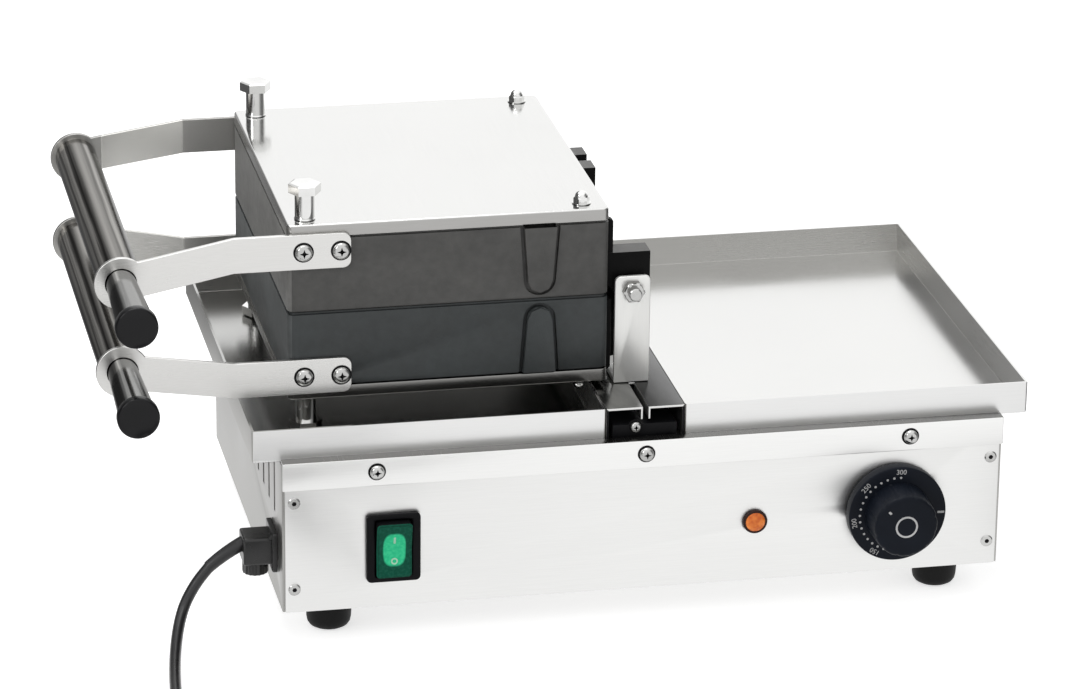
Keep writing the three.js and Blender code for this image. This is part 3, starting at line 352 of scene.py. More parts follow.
def paint(thing, material, chosen):
    """Gives the faces that are chosen, by their centre in millimetres and their normal, a material."""
    thing.data.materials.append(material)
    index = len(thing.data.materials) - 1
    for face in thing.data.polygons:
        centre = (face.center - ORIGIN) / MM
        if chosen(centre, face.normal):
            face.material_index = index


def dressed(thing, body, material, replaces=()):
    """Puts a piece on its body with its material, in place of the CAD nodes that it stands for."""
    thing.data.materials.clear()
    thing.data.materials.append(material)
    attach(thing, body)
    if replaces:
        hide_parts(*replaces)
    return thing


def piece(name, mesh, body, material, replaces=(), angle=SHARP_ANGLE):
    """A smooth piece from a mesh, dressed for its body."""
    return dressed(smoothed(raw_object(name, mesh), angle), body, material, replaces)


# Graphs of nodes, and the places of the Mix node's two colours and of its mixed colour
MIX_COLOUR_SOCKETS = (6, 7, 2)


class Graph:
    """The nodes of a material or of the world, with the coordinates that they work in."""

    def __init__(self, owner, coordinates, emptied=True):
        owner.use_nodes = True
        self.nodes = owner.node_tree.nodes
        self.links = owner.node_tree.links
        if emptied:
            self.nodes.clear()
        self.space = self.add("TexCoord").outputs[coordinates]

    def add(self, kind, inputs=(), **settings):
        """Adds a node with its settings and its inputs, by their names or places."""
        node = self.nodes.new(f"ShaderNode{kind}")
        for name, value in settings.items():
            setattr(node, name, value)
        for key, value in dict(inputs).items():
            self.feed(node.inputs[key], value)
        return node

    def feed(self, socket, value):
        """Gives a socket a value, or joins it to another socket or to a node's first output."""
        if isinstance(value, bpy.types.Node):
            value = value.outputs[0]
        if isinstance(value, bpy.types.NodeSocket):
            self.links.new(value, socket)
        else:
            socket.default_value = value

    def part(self, axis):
        """One of a point's coordinates."""
        return self.add("SeparateXYZ", {"Vector": self.space}).outputs[axis]

    def maths(self, operation, first, second=0):
        return self.add("Math", {0: first, 1: second}, operation=operation)

    def spread(self, value, low, high, start=0.3, end=0.7, **settings):
        """Brings a value between start and end to one between low and high."""
        ends = {"From Min": start, "From Max": end, "To Min": low, "To Max": high}
        return self.add("MapRange", {"Value": value, **ends}, **settings)

    def blend(self, share, first, second):
        """A colour between two, each a colour or a socket."""
        first_socket, second_socket, result = MIX_COLOUR_SOCKETS
        colours = {first_socket: opaque(first), second_socket: opaque(second)}
        return self.add("Mix", {"Factor": share, **colours}, data_type="RGBA").outputs[result]

    def shades(self, angle, stops, tone=(1, 1, 1)):
        """A tone that changes with an angle from -180 to 180 degrees, by its stops."""
        node = self.add("ValToRGB", {"Fac": self.spread(angle, 0, 1, -math.pi, math.pi)})
        node.color_ramp.interpolation = "EASE"
        elements = node.color_ramp.elements
        for index, (degrees, shade) in enumerate(stops):
            place = (degrees + 180) / 360
            stop = elements[index] if index < 2 else elements.new(place)
            stop.position = place
            stop.color = opaque(toned(tone, shade))
        return node.outputs[0]

    def by_compass(self, stops):
        """The shade of a direction by its angle from straight behind, clockwise from above."""
        return self.shades(self.maths("ARCTAN2", self.part("X"), self.part("Y")), stops)


class Finish(Graph):
    """A procedural material in the object's own coordinates."""

    def __init__(self, name, colour, **values):
        self.material = bpy.data.materials.new(name)
        super().__init__(self.material, "Object", emptied=False)
        self.shader = self.nodes["Principled BSDF"]
        self.colour(opaque(colour))
        for socket, value in values.items():
            self.feed(self.shader.inputs[socket.replace("_", " ")], value)

    def colour(self, value):
        self.feed(self.shader.inputs["Base Color"], value)

    def rough(self, value):
        self.feed(self.shader.inputs["Roughness"], value)

    def noise(self, scale, stretch=(1, 1, 1), detail=3, roughness=0.5):
        """Noise of so many cells a metre, stretched along an axis whose number is small."""
        space = self.add("Mapping", {"Vector": self.space, "Scale": stretch})
        sizes = {"Scale": scale, "Detail": detail, "Roughness": roughness}
        return self.add("TexNoise", {"Vector": space, **sizes}).outputs["Fac"]

    def offset(self, axis, place):
        """How far a point of the surface lies from a place in the frame, along one axis."""
        return self.maths("SUBTRACT", self.part(axis), place["XYZ".index(axis)])

    def bump(self, height, depth):
        """Raises the surface by up to the given depth in millimetres."""
        node = self.add("Bump", {"Strength": 1, "Distance": depth * MM, "Height": height})
        self.feed(self.shader.inputs["Normal"], node)


def opaque(colour):
    """A colour with its alpha, unless it is a socket."""
    return (*colour, 1) if isinstance(colour, tuple) else colour


def toned(tone, share):
    """A tone made darker or lighter."""
    return tuple(min(1, share * part) for part in tone)


# Materials. Scales are cells a metre, depths are millimetres, and wear is the most that
# roughness gains or loses.
ALONG_X = (0.02, 1, 1)
ALONG_Y = (1, 0.02, 1)
ALONG_Z = (1, 1, 0.02)
GRIND_SCALE = 2400
GRIND_DEPTH = 0.004
GRIND_WEAR = 0.03
FAINT_GRIND = 0.001
CLOUD_SCALE = 8
CLOUD_WEAR = 0.04
HANDLED_SCALE = 60
HANDLED_SHARES = (0.6, 1.6)
DRAWN_SCALE = 620
DRAWN_SHARES = (0.8, 1.5)
STREAK_WAVER = math.radians(2.5)
TUBE_LIMB = (0.5, 0.5, 0.5, 1)
CAST_SCALES = (900, 24, 150)
CAST_CLOUD_SHARE = 0.7
CAST_TONE_SHARES = (0.6, 1.4)
CAST_WEAR = 0.1
CAST_DEPTH = 0.12
MOULD_CLOUD_SCALE = 30
MOULD_TONE_SHARES = (0.8, 1.3)
MOULD_WEAR = 0.05


def brushed(name, tone, roughness, grain=ALONG_X, contrast=0.035, metallic=1.0, depth=GRIND_DEPTH):
    """Stainless sheet with fine grinding lines along one axis and faint clouds."""
    finish = Finish(name, tone, Metallic=metallic, Roughness=roughness)
    lines = finish.noise(GRIND_SCALE, grain, detail=2)
    clouds = finish.noise(CLOUD_SCALE)
    uneven = finish.maths("ADD", finish.spread(lines, 0, 0.5), finish.spread(clouds, 0, 0.5))
    finish.colour(finish.blend(uneven, toned(tone, 1 - contrast), toned(tone, 1 + contrast)))
    ground = finish.spread(lines, -GRIND_WEAR, GRIND_WEAR)
    worn = finish.maths("ADD", ground, finish.spread(clouds, -CLOUD_WEAR, CLOUD_WEAR))
    finish.rough(finish.maths("ADD", worn, roughness))
    finish.bump(lines, depth)
    return finish.material


def polished(name, tone, roughness=0.09, clouding=0.12):
    """Bright metal with faint clouding from handling."""
    finish = Finish(name, tone, Metallic=1.0, Roughness=roughness)
    clouds = finish.noise(HANDLED_SCALE, detail=4)
    finish.rough(finish.spread(clouds, *(share * roughness for share in HANDLED_SHARES)))
    finish.colour(finish.blend(finish.spread(clouds, 0, 1), tone, toned(tone, 1 - clouding)))
    return finish.material


def reflection_striped_tube(name, tone, centre, reflection_stops, roughness=0.14):
    """A tube along Y with long dark and light lines of painted reflection, by the degrees round its girth.
    """
    finish = Finish(name, tone, Metallic=1.0, Roughness=roughness, Specular_Tint=TUBE_LIMB)
    place = in_frame(centre)
    fine = finish.noise(DRAWN_SCALE, ALONG_Y, detail=2)
    angle = finish.maths("ARCTAN2", finish.offset("Z", place), finish.offset("X", place))
    wavering = finish.maths("ADD", angle, finish.spread(fine, -STREAK_WAVER, STREAK_WAVER))
    # Painted reflections: the room's dark and light bands drawn into the tube's colour
    finish.colour(finish.shades(wavering, reflection_stops, tone))
    finish.rough(finish.spread(fine, *(share * roughness for share in DRAWN_SHARES)))
    finish.bump(fine, GRIND_DEPTH)
    return finish.material


def cast(name, tone, roughness=0.5, shine=0.5):
    """Fine dark castings, oiled and mottled."""
    finish = Finish(name, tone, Metallic=0.0, Roughness=roughness, Specular_IOR_Level=shine)
    grain_scale, cloud_scale, speck_scale = CAST_SCALES
    grain = finish.noise(grain_scale, detail=5, roughness=0.65)
    clouds = finish.noise(cloud_scale, detail=5, roughness=0.6)
    specks = finish.noise(speck_scale)
    clouded = finish.spread(clouds, 0, CAST_CLOUD_SHARE)
    mottled = finish.maths("ADD", clouded, finish.spread(specks, 0, 1 - CAST_CLOUD_SHARE))
    finish.colour(finish.blend(mottled, *(toned(tone, share) for share in CAST_TONE_SHARES)))
    finish.rough(finish.maths("ADD", finish.spread(clouds, -CAST_WEAR, CAST_WEAR), roughness))
    finish.bump(grain, CAST_DEPTH)
    return finish.material


def moulded(name, tone, roughness=0.4, depth=0.02, scale=2200, shine=0.18):
    """Moulded plastic or rubber with a fine texture."""
    finish = Finish(name, tone, Metallic=0.0, Roughness=roughness, Specular_IOR_Level=shine)
    grain = finish.noise(scale, detail=2)
    clouds = finish.noise(MOULD_CLOUD_SCALE, detail=2)
    uneven = finish.spread(clouds, 0, 1)
    finish.colour(finish.blend(uneven, *(toned(tone, share) for share in MOULD_TONE_SHARES)))
    finish.rough(finish.maths("ADD", finish.spread(clouds, -MOULD_WEAR, MOULD_WEAR), roughness))
    finish.bump(grain, depth)
    return finish.material


SHEET = brushed("sheet_steel", (0.79, 0.79, 0.78), 0.36)
TRIM_SHEET = brushed("trim_steel", (0.84, 0.84, 0.83), 0.34)
SIDE_SHEET = brushed("side_steel", (0.37, 0.367, 0.355), 0.34, ALONG_Y, 0.12)
# Painted light and shade: the trays' outer fronts lighter, their inner front and back walls and their outer
# sides darker
LIT_TRAY_FRONT = brushed("lit_tray_front", (0.77, 0.77, 0.765), 0.34)
TRAY_SHEET = brushed("tray_steel", (0.67, 0.67, 0.66), 0.2)
SHADED_TRAY = brushed("shaded_tray_steel", (0.46, 0.46, 0.45), 0.2)
SHADED_TRAY_WALL = brushed("shaded_tray_wall", (0.44, 0.435, 0.42), 0.3, depth=FAINT_GRIND)
TRAY_END_WALL = brushed("tray_end_wall", (0.66, 0.655, 0.64), 0.3, ALONG_Y, depth=FAINT_GRIND)
SHADED_SIDE_STEEL = brushed("shaded_side_steel", (0.42, 0.415, 0.40), 0.34, ALONG_Y, 0.08)
COVER_SHEET = brushed("cover_steel", (0.66, 0.66, 0.65), 0.15, ALONG_Y)
# Painted shade: a dark copy of the steel for the lower cover, the trim's ledge and the hinge nuts' sides
SHADED_STEEL = brushed("shaded_steel", (0.22, 0.217, 0.21), 0.24, ALONG_Y, 0.1)
# Painted shade: the upper cover's sides, darker than its top
SHADED_COVER_EDGE = brushed("shaded_cover_edge", (0.40, 0.395, 0.385), 0.3, contrast=0.08)
STRIP_STEEL = brushed("strip_steel", (0.70, 0.695, 0.68), 0.3, contrast=0.06)
# Painted shade: the rear strips in a darker copy of the strip steel
SHADED_REAR_STRIP = brushed("shaded_rear_strip_steel", (0.60, 0.595, 0.57), 0.24, contrast=0.06)
BRACKET_STEEL = brushed("bracket_steel", (0.84, 0.84, 0.82), 0.34, ALONG_Z, metallic=0.6)
BRIDGE_STEEL = brushed("bridge_steel", (0.70, 0.70, 0.69), 0.3)
BRIGHT_STEEL = polished("bright_steel", (0.80, 0.80, 0.79))
SCREW_STEEL = polished("screw_steel", (0.58, 0.58, 0.57), 0.16, 0.3)
CHROME = polished("chrome", (0.78, 0.78, 0.77), 0.07)
# Black steel of the bar and elements, also painted shade in recesses, sockets, the bridge's front and
# between the brackets
BLACK_STEEL_AND_SHADE = cast("black_steel_and_shade", (0.008, 0.008, 0.009), 0.45, 0.1)
# Painted shade: the lugs and webs by the hinge drawn near black
SHADED_LUG_IRON = cast("shaded_lug_iron", (0.006, 0.006, 0.006), 0.45, 0.06)
UPPER_IRON = cast("upper_iron", (0.066, 0.065, 0.062))
LOWER_IRON = cast("lower_iron", (0.030, 0.035, 0.036))
# Painted light: the irons' left end faces, as lit from the left, in lighter copies of their iron
LIT_UPPER_END = cast("lit_upper_end", (0.15, 0.148, 0.142))
LIT_LOWER_END = cast("lit_lower_end", (0.070, 0.076, 0.077))
# Black plastic of the bezel and tie, also painted shade on the rocker's sides
BLACK_PLASTIC_AND_SHADE = moulded("black_plastic", (0.006, 0.006, 0.007), shine=0.08)
GLAND_PLASTIC = moulded("gland_plastic", (0.012, 0.012, 0.012), 0.28, shine=0.5)
GLOSS_BLACK = moulded("gloss_black", (0.005, 0.005, 0.006), 0.22, 0.008, shine=0.22)
KNOB_PLASTIC = moulded("knob_plastic", (0.006, 0.008, 0.013), 0.4, 0.03, shine=0.1)
FOOT_RUBBER = moulded("foot_rubber", (0.009, 0.009, 0.009), 0.6, 0.04, 1200, 0.15)
CABLE_RUBBER = moulded("cable_rubber", (0.012, 0.012, 0.013), 0.32, 0.03, 1500, 0.5)
WHITE_PRINT = moulded("white_print", (0.5, 0.5, 0.5), 0.6, 0.004)
PALE_PRINT = moulded("pale_print", (0.42, 0.66, 0.5), 0.6, 0.004)
DARK_RING = moulded("dark_ring", (0.028, 0.009, 0.006), 0.3, 0.006)
CERAMIC = moulded("phenolic", (0.30, 0.25, 0.19), 0.55)

# How bright a grip's tube is, as painted reflections, by the degrees round its girth from the right
GRIP_TONE = (1, 0.975, 0.93)
GRIP_REFLECTIONS = (
    (-180, 0.1), (-150, 0.4), (-90, 0.3), (-20, 0.4), (38, 0.42), (50, 0.24), (60, 0.3), (70, 0.5),
    (79, 0.2), (88, 0.3), (98, 0.38), (108, 0.42), (115, 0.2), (121, 0.05), (127, 0.16), (134, 1),
    (141, 0.7), (149, 0.16), (158, 0.6), (166, 0.3), (172, 0.05), (180, 0.1),
)
# The same of the rods and their stubs
ROD_TONE = (1, 1, 0.98)
ROD_REFLECTIONS = (
    (-180, 0.02), (-150, 0.1), (-90, 0.3), (30, 0.5), (46, 0.45), (60, 0.5), (85, 0.42), (102, 0.4),
    (114, 0.8), (121, 0.42), (130, 0.08), (145, 0.02), (180, 0.02),
)


# Cord
CORD_RADIUS = 3.5
SLEEVE_LENGTH = 22
SLEEVE_DROOP = math.radians(31)
SLEEVE_TOE = math.radians(8)
SLEEVE_RADIUS = 4.4
SLEEVE_TIP_RADIUS = 3.8
SLEEVE_MOUTH = 2
SLEEVE_ARCH = 0.9
SLEEVE_ROOT = 5
SLEEVE_PLAY = 0.1
SLEEVE_STEPS = 12
SLEEVE_ANGLE = math.radians(50)
CORD_ROUTE = (
    (-270.6, -127, 33.9), (-275.6, -129.8, 27.6), (-279.7, -134, 21.9), (-283, -140.6, 17.1),
    (-285.8, -149.4, 13.3), (-288.3, -159.8, 10.3), (-290.6, -171.8, 7.9), (-292.7, -185, 6.2),
    (-294.6, -199.5, 5), (-296.5, -217, 4.2), (-298.5, -238, 3.8), (-300.6, -260, 4),
    (-302, -280, 4.6),
)
COIL_CENTRE = (-255.9, -318)
COIL_RADIUS = 46.6
COIL_PITCH = 7.6
COIL_TURNS_IN = 2.25
COIL_CLIMB = 0.5
COIL_TURNS_OUT = 2.5
COIL_STEPS = 24
COIL_LEAD_IN = 9
COIL_LEAD_OUT = 58
COIL_LEAD_STEPS = 6
TIE_SHEET = 1.2


def lead_way():
    """The way in which the sleeve and the lead leave the gland."""
    level = Matrix.Rotation(SLEEVE_TOE, 3, "Z") @ Vector((-math.cos(SLEEVE_DROOP), 0, 0))
    return level - Vector((0, 0, math.sin(SLEEVE_DROOP)))


def make_sleeve():
    """The sleeve, slightly arched, from inside the gland to its mouth with the lead in it."""
    way = lead_way()
    tip = middle("strain_relief") + way * (SLEEVE_LENGTH - CLEARANCE) / 2
    length = SLEEVE_LENGTH + SLEEVE_ROOT
    mouth = CORD_RADIUS + SLEEVE_PLAY
    profile = [(0, 0)]
    for step in range(SLEEVE_STEPS + 1):
        share = step / SLEEVE_STEPS
        profile.append((SLEEVE_RADIUS + (SLEEVE_TIP_RADIUS - SLEEVE_RADIUS) * share, length * share))
    profile.extend([(mouth, length), (mouth, length - SLEEVE_MOUTH), (0, length - SLEEVE_MOUTH)])
    mesh = turned(bmesh.new(), profile, steps=SMALL_STEPS)
    for vert in mesh.verts:
        share = vert.co.z / length
        vert.co.y += 4 * SLEEVE_ARCH * share * (1 - share)
    turn = way.to_track_quat("Z", "Y").to_matrix().to_4x4()
    mesh.transform(Matrix.Translation(tip - way * length) @ turn)
    return piece("lead_sleeve", mesh, "base", CABLE_RUBBER, ["strain_relief"], SLEEVE_ANGLE)


def coil_points():
    """The spare length's way: turns inwards on the counter, a climb, turns outwards and on to the plug."""
    bottom = TIE_SHEET + CLEARANCE + CORD_RADIUS
    centre_x, centre_y = COIL_CENTRE
    inward = COIL_TURNS_IN + COIL_CLIMB / 2
    turns = COIL_TURNS_IN + COIL_CLIMB + COIL_TURNS_OUT
    least = COIL_RADIUS - COIL_PITCH * inward
    points = [(centre_x - COIL_RADIUS, centre_y + 2 * COIL_LEAD_IN, bottom)]
    for step in range(round(turns * COIL_STEPS) + 1):
        turn = step / COIL_STEPS
        angle = math.pi + 2 * math.pi * turn
        radius = least + COIL_PITCH * abs(turn - inward)
        height = bottom + COIL_PITCH * eased((turn - COIL_TURNS_IN) / COIL_CLIMB)
        points.append((centre_x + radius * math.cos(angle), centre_y + radius * math.sin(angle), height))
    x, y, z = points[-1]
    rise = middle("plug").z - z
    for step in range(1, COIL_LEAD_STEPS + 1):
        rest = COIL_LEAD_OUT * step / COIL_LEAD_STEPS
        points.append((x + rest, y, z + rise * eased(rest / (COIL_LEAD_OUT - COIL_LEAD_IN))))
    return points


def make_cord():
    """One lead from the gland to the plug, with its spare length in a tied coil."""
    start = middle("strain_relief") + lead_way() * (SLEEVE_LENGTH - SLEEVE_MOUTH) / 2
    points = [start, *CORD_ROUTE, *coil_points()]
    curve = bpy.data.curves.new("mains_lead", "CURVE")
    curve.dimensions = "3D"
    spline = curve.splines.new("BEZIER")
    spline.bezier_points.add(len(points) - 1)
    for knot, point in zip(spline.bezier_points, points):
        knot.co = in_frame(point)
        knot.handle_left_type = "AUTO"
        knot.handle_right_type = "AUTO"
    spline.resolution_u = CURVE_STEPS
    curve.bevel_depth = CORD_RADIUS * MM
    curve.bevel_resolution = CURVE_STEPS
    curve.use_fill_caps = True
    lead = in_scene("mains_lead", curve)
    dressed(lead, "base", CABLE_RUBBER, ["cord", "cord_coil"])


# Plug
PLUG_NECK = 24
PLUG_NECK_RADII = (5.4, 8)
PLUG_SHOULDER = 8
PLUG_SHOULDER_RADIUS = 15
PLUG_PIN_RADIUS = 2.4
PLUG_PIN_PITCH = 19
PLUG_PIN_LENGTH = 19
PLUG_PIN_ROUND = 1
PLUG_RIBS = 5
PLUG_RIB_DEPTH = 1
# Where each groove of the neck starts and ends, in shares of a rib, and how deep it is there
PLUG_GROOVE_SHARES = ((0.15, 0), (0.3, 1), (0.55, 1), (0.7, 0))
PLUG_FLAT = 0.86
PLUG_FLAT_POWER = 6


def gripped(angle):
    """The outline of the plug's body, flattened on two sides."""
    return 1 - (1 - PLUG_FLAT) * abs(math.cos(angle)) ** PLUG_FLAT_POWER


def make_plug():
    low, high = box("plug")
    centre = middle("plug")
    radius = half("plug").z
    place = Matrix.Translation((low.x, centre.y, centre.z)) @ Matrix.Rotation(math.pi / 2, 4, "Y")
    length = high.x - PLUG_PIN_LENGTH - low.x
    first, last = PLUG_NECK_RADII
    profile = [(0, 0), (first - EDGE_ROUND, 0), (first, EDGE_ROUND)]
    for rib in range(PLUG_RIBS):
        for share, depth in PLUG_GROOVE_SHARES:
            along = (rib + share) / PLUG_RIBS
            profile.append((first + (last - first) * along - depth * PLUG_RIB_DEPTH, PLUG_NECK * along))
    profile.append((last, PLUG_NECK))
    body = rounded([
        (PLUG_SHOULDER_RADIUS, PLUG_NECK + PLUG_SHOULDER / 2),
        (radius, PLUG_NECK + PLUG_SHOULDER),
        (radius, length),
        (radius / 2, length),
    ], PLUG_SHOULDER / 4)
    profile.extend([*shaped(body, gripped), (0, length)])
    mesh = turned(bmesh.new(), profile, place)
    plug = piece("plug_body", mesh, "base", CABLE_RUBBER, ["plug"])
    pins = bmesh.new()
    pin = rounded(disc(PLUG_PIN_RADIUS, 0, PLUG_PIN_LENGTH), PLUG_PIN_ROUND)
    for side in (-1, 1):
        spot = Matrix.Translation((side * PLUG_PIN_PITCH / 2, 0, length))
        turned(pins, pin, place @ spot, SMALL_STEPS)
    return [plug, piece("plug_pins", pins, "base", BRIGHT_STEEL)]


sleeve = make_sleeve()
plug_pieces = make_plug()
make_cord()


# Nodes whose solids have all their shape already
BRIDGE_WALL = 1.6
BRIDGE_CHANGE = 2
BRIDGE_STRETCH = (1, 0.3, 1)
# Painted reflection on the bridge's top: two tones each for its light and its dark side
BRIDGE_LIT_REFLECTION = ((0.28, 0.28, 0.27), (0.12, 0.12, 0.115))
BRIDGE_DARK_REFLECTION = ((0.05, 0.05, 0.049), (0.008, 0.008, 0.008))
# Each node's material, and how wide its softer edges are
PLAIN_NODES = (
    ("base_housing", SIDE_SHEET, 0.4),
    ("front_panel", SHEET, 0.3),
    ("front_trim", TRIM_SHEET, 0.4),
    ("bottom_plate", SIDE_SHEET, 0.3),
    ("hinge_bridge", BRIDGE_STEEL, 0.3),
    ("hinge_bar", BLACK_STEEL_AND_SHADE, 0.6),
    ("hinge_bracket_front", BRACKET_STEEL, 0.6),
    ("hinge_bracket_rear", BRACKET_STEEL, 0.6),
    ("thermostat_body", CERAMIC, 0.5),
    ("terminal_block", CERAMIC, 0.5),
    ("cord_tie", BLACK_PLASTIC_AND_SHADE, 0.3),
    ("lower_element", BLACK_STEEL_AND_SHADE, 0.4),
    ("upper_element", BLACK_STEEL_AND_SHADE, 0.4),
)


def reflected_bridge_top():
    """The bridge's polished top, with a painted reflection that is bright beside the left tray and dark
    beside the right one.
    """
    finish = Finish("reflected_bridge_top", (0.2, 0.2, 0.19), Metallic=1.0, Roughness=0.2)
    clouds = finish.spread(finish.noise(HANDLED_SCALE, BRIDGE_STRETCH, detail=4), 0, 1)
    light = finish.blend(clouds, *BRIDGE_LIT_REFLECTION)
    dark = finish.blend(clouds, *BRIDGE_DARK_REFLECTION)
    across = finish.offset("X", ORIGIN)
    side = finish.spread(across, 0, 1, -BRIDGE_CHANGE * MM, BRIDGE_CHANGE * MM)
    finish.colour(finish.blend(side, light, dark))
    return finish.material


def plain_nodes():
    """Dresses the nodes that keep their solids, with a painted reflection on the bridge's top, and painted
    shade on the front ends of its side walls and on the trim's ledge.
    """
    for node, material, edge in PLAIN_NODES:
        thing = NODES[node]
        thing.data.materials.clear()
        thing.data.materials.append(material)
        bevelled(thing, edge)
    bridge = NODES["hinge_bridge"]
    wall = box("hinge_bridge")[1].x - BRIDGE_WALL
    # Painted reflection on the bridge's top faces
    paint(bridge, reflected_bridge_top(), lambda centre, normal: normal.z > FACING)
    # Painted shade: the front ends of the bridge's side walls drawn black
    paint(bridge, BLACK_STEEL_AND_SHADE, lambda centre, normal: normal.y < -FACING and abs(centre.x) > wall)
    # Painted shadow: the trim's ledge under the trays drawn dark
    paint(NODES["front_trim"], SHADED_STEEL, lambda centre, normal: normal.z > FACING)


# Trays
TRAY_GAUGE = 1.5
TRAY_BEND = 1.8
TRAY_INNER_BEND = 0.25
TRAY_CORNER = 1.5


def make_trays():
    # Painted shade: the left tray's floor, under the irons, in a darker copy of the steel
    for node, floor in (("tray_left", SHADED_TRAY), ("tray_right", TRAY_SHEET)):
        low, high = box(node)
        outside = rounded([(2 * TRAY_BEND, low.z), (0, low.z), (0, high.z)], TRAY_BEND)
        inside = rounded([
            (TRAY_GAUGE, high.z),
            (TRAY_GAUGE, low.z + TRAY_GAUGE),
            (TRAY_GAUGE + 2 * TRAY_INNER_BEND, low.z + TRAY_GAUGE),
        ], TRAY_INNER_BEND)
        mesh = box_shell(bmesh.new(), low.xy, high.xy, TRAY_CORNER, [*outside, *inside])
        tray = piece(f"{node}_pressing", mesh, "base", floor, [node])
        border = TRAY_GAUGE / 2

        def within(centre):
            in_x = low.x + border < centre.x < high.x - border
            return in_x and low.y + border < centre.y < high.y - border

        # Painted light and shade by the way each face looks: inner front and back walls darker, outer front
        # and back lighter, outer sides darker; the inner end walls take their grain along Y
        for material, inner, axis in (
            (SHADED_TRAY_WALL, True, 1),
            (TRAY_END_WALL, True, 0),
            (LIT_TRAY_FRONT, False, 1),
            (SHADED_SIDE_STEEL, False, 0),
        ):
            paint(tray, material, lambda centre, normal: (
                within(centre) == inner and abs(normal[axis]) > FACING
            ))


# Screws
PAN_RADIUS = 4.5
PAN_DEPTH = 3
PAN_SHANK = 6
# A pan head's section, in shares of its radius and depth, with a cross recess in it
PAN_SHARES = ((0.97, 0), (1, 0.1), (0.98, 0.35), (0.9, 0.65), (0.75, 0.88), (0.6, 0.98))
PAN_NECK_SHARE = 0.45
RECESS_SHARE = 0.55
RECESS_FOOT_SHARES = (0.85, 0.4)
RECESS_FLOOR_SHARE = 0.35
# How deep the recess is drawn black as painted shade, in shares of the head's depth
RECESS_SHADE_SHARES = (0.2, 0.95)
CROSS_WAIST_SHARE = 0.42
# A thin black ring under each pan head, as painted contact shadow
SHADOW_RING_GAUGE = 0.3
SHADOW_RING_BORDER = 0.9
TRIM_SCREWS = (-166, -1, 164)
TRIM_SCREW_HEIGHT = 109.7
BRIDGE_SCREW = (-6, 124)
BRIDGE_SCREW_RADIUS = 3.6
SUNK_RADIUS = 3.8
SUNK_RECESS = 1.5
SUNK_PROUD = 0.7
SUNK_FLOOR = 0.15
SUNK_INSET = 5.5
SUNK_HEIGHTS = (36, 92)


def cross(angle):
    """The outline of a cross recess, with its four arms at 1."""
    quarter = math.pi / 2
    turn = (angle % quarter) - quarter / 2
    return CROSS_WAIST_SHARE + (1 - CROSS_WAIST_SHARE) * abs(2 * turn / quarter) ** 3


def pan_screw(name, place, radius, depth, shank, body, replaces=()):
    """A pan head screw whose cross recess is drawn black as painted shade, seated on a thin black ring that
    stands for its contact shadow.
    """
    neck = PAN_NECK_SHARE * radius
    arms = RECESS_SHARE * radius
    foot_share, rise_share = RECESS_FOOT_SHARES
    profile = [(0, -shank), (neck, -shank), (neck, 0)]
    profile.extend((share * radius, rise * depth) for share, rise in PAN_SHARES)
    profile.extend([
        (arms, depth, cross),
        (foot_share * arms, rise_share * depth, cross),
        (0, RECESS_FLOOR_SHARE * depth),
    ])
    mesh = turned(bmesh.new(), profile, place, SMALL_STEPS)
    screw = piece(name, mesh, body, SCREW_STEEL, replaces)
    inverse = place.inverted()
    lowest, highest = (share * depth for share in RECESS_SHADE_SHARES)

    def in_recess(centre, normal):
        own = inverse @ centre
        return lowest < own.z < highest and math.hypot(own.x, own.y) < arms

    # Painted shade: the recess drawn black
    paint(screw, BLACK_STEEL_AND_SHADE, in_recess)
    # Painted shadow: a thin black ring round the head's seat
    shadow_ring = hoop(radius / 2, radius + SHADOW_RING_BORDER, -SHADOW_RING_GAUGE, 0)
    ring = turned(bmesh.new(), shadow_ring, place, SMALL_STEPS, closed=True)
    piece(f"{name}_washer", ring, body, BLACK_STEEL_AND_SHADE)


def sunk_screw(name, x, y, z):
    """A countersunk screw whose low head stands a little proud of the panel, its socket drawn black as
    painted shade.
    """
    mesh = turned(bmesh.new(), [
        (0, -SUNK_RADIUS),
        (SUNK_RECESS, -SUNK_RADIUS),
        (SUNK_RADIUS, -SUNK_FLOOR),
        (SUNK_RADIUS, SUNK_FLOOR),
        (SUNK_RADIUS - SUNK_PROUD, SUNK_PROUD),
        (SUNK_RECESS, SUNK_PROUD, hexagon),
        (SUNK_RECESS, SUNK_FLOOR, hexagon),
        (0, SUNK_FLOOR),
    ], along_y(x, y, z, -1), SMALL_STEPS)
    screw = piece(name, mesh, "base", SCREW_STEEL)
    # Painted shade: the socket drawn black
    paint(screw, BLACK_STEEL_AND_SHADE, lambda centre, normal: (
        math.hypot(centre.x - x, centre.z - z) < SUNK_RECESS and y - SUNK_PROUD < centre.y < y
    ))


def make_front_screws():
    trim_face = box("front_trim")[0].y - SHADOW_RING_GAUGE
    for index, x in enumerate(TRIM_SCREWS):
        place = along_y(x, trim_face, TRIM_SCREW_HEIGHT, -1)
        pan_screw(f"trim_screw_{index + 1}", place, PAN_RADIUS, PAN_DEPTH, PAN_SHANK, "base")
    x, z = BRIDGE_SCREW
    place = along_y(x, box("hinge_bar")[0].y - SHADOW_RING_GAUGE, z, -1)
    pan_screw("bridge_screw", place, BRIDGE_SCREW_RADIUS, PAN_DEPTH, PAN_SHANK, "base")
    low, high = box("front_panel")
    for side, x in (("left", low.x + SUNK_INSET), ("right", high.x - SUNK_INSET)):
        for level, z in zip(("lower", "upper"), SUNK_HEIGHTS):
            sunk_screw(f"panel_screw_{side}_{level}", x, PANEL_FACE, z)


# Feet
FOOT_TAPER = 1.2
FOOT_ROUND = 6


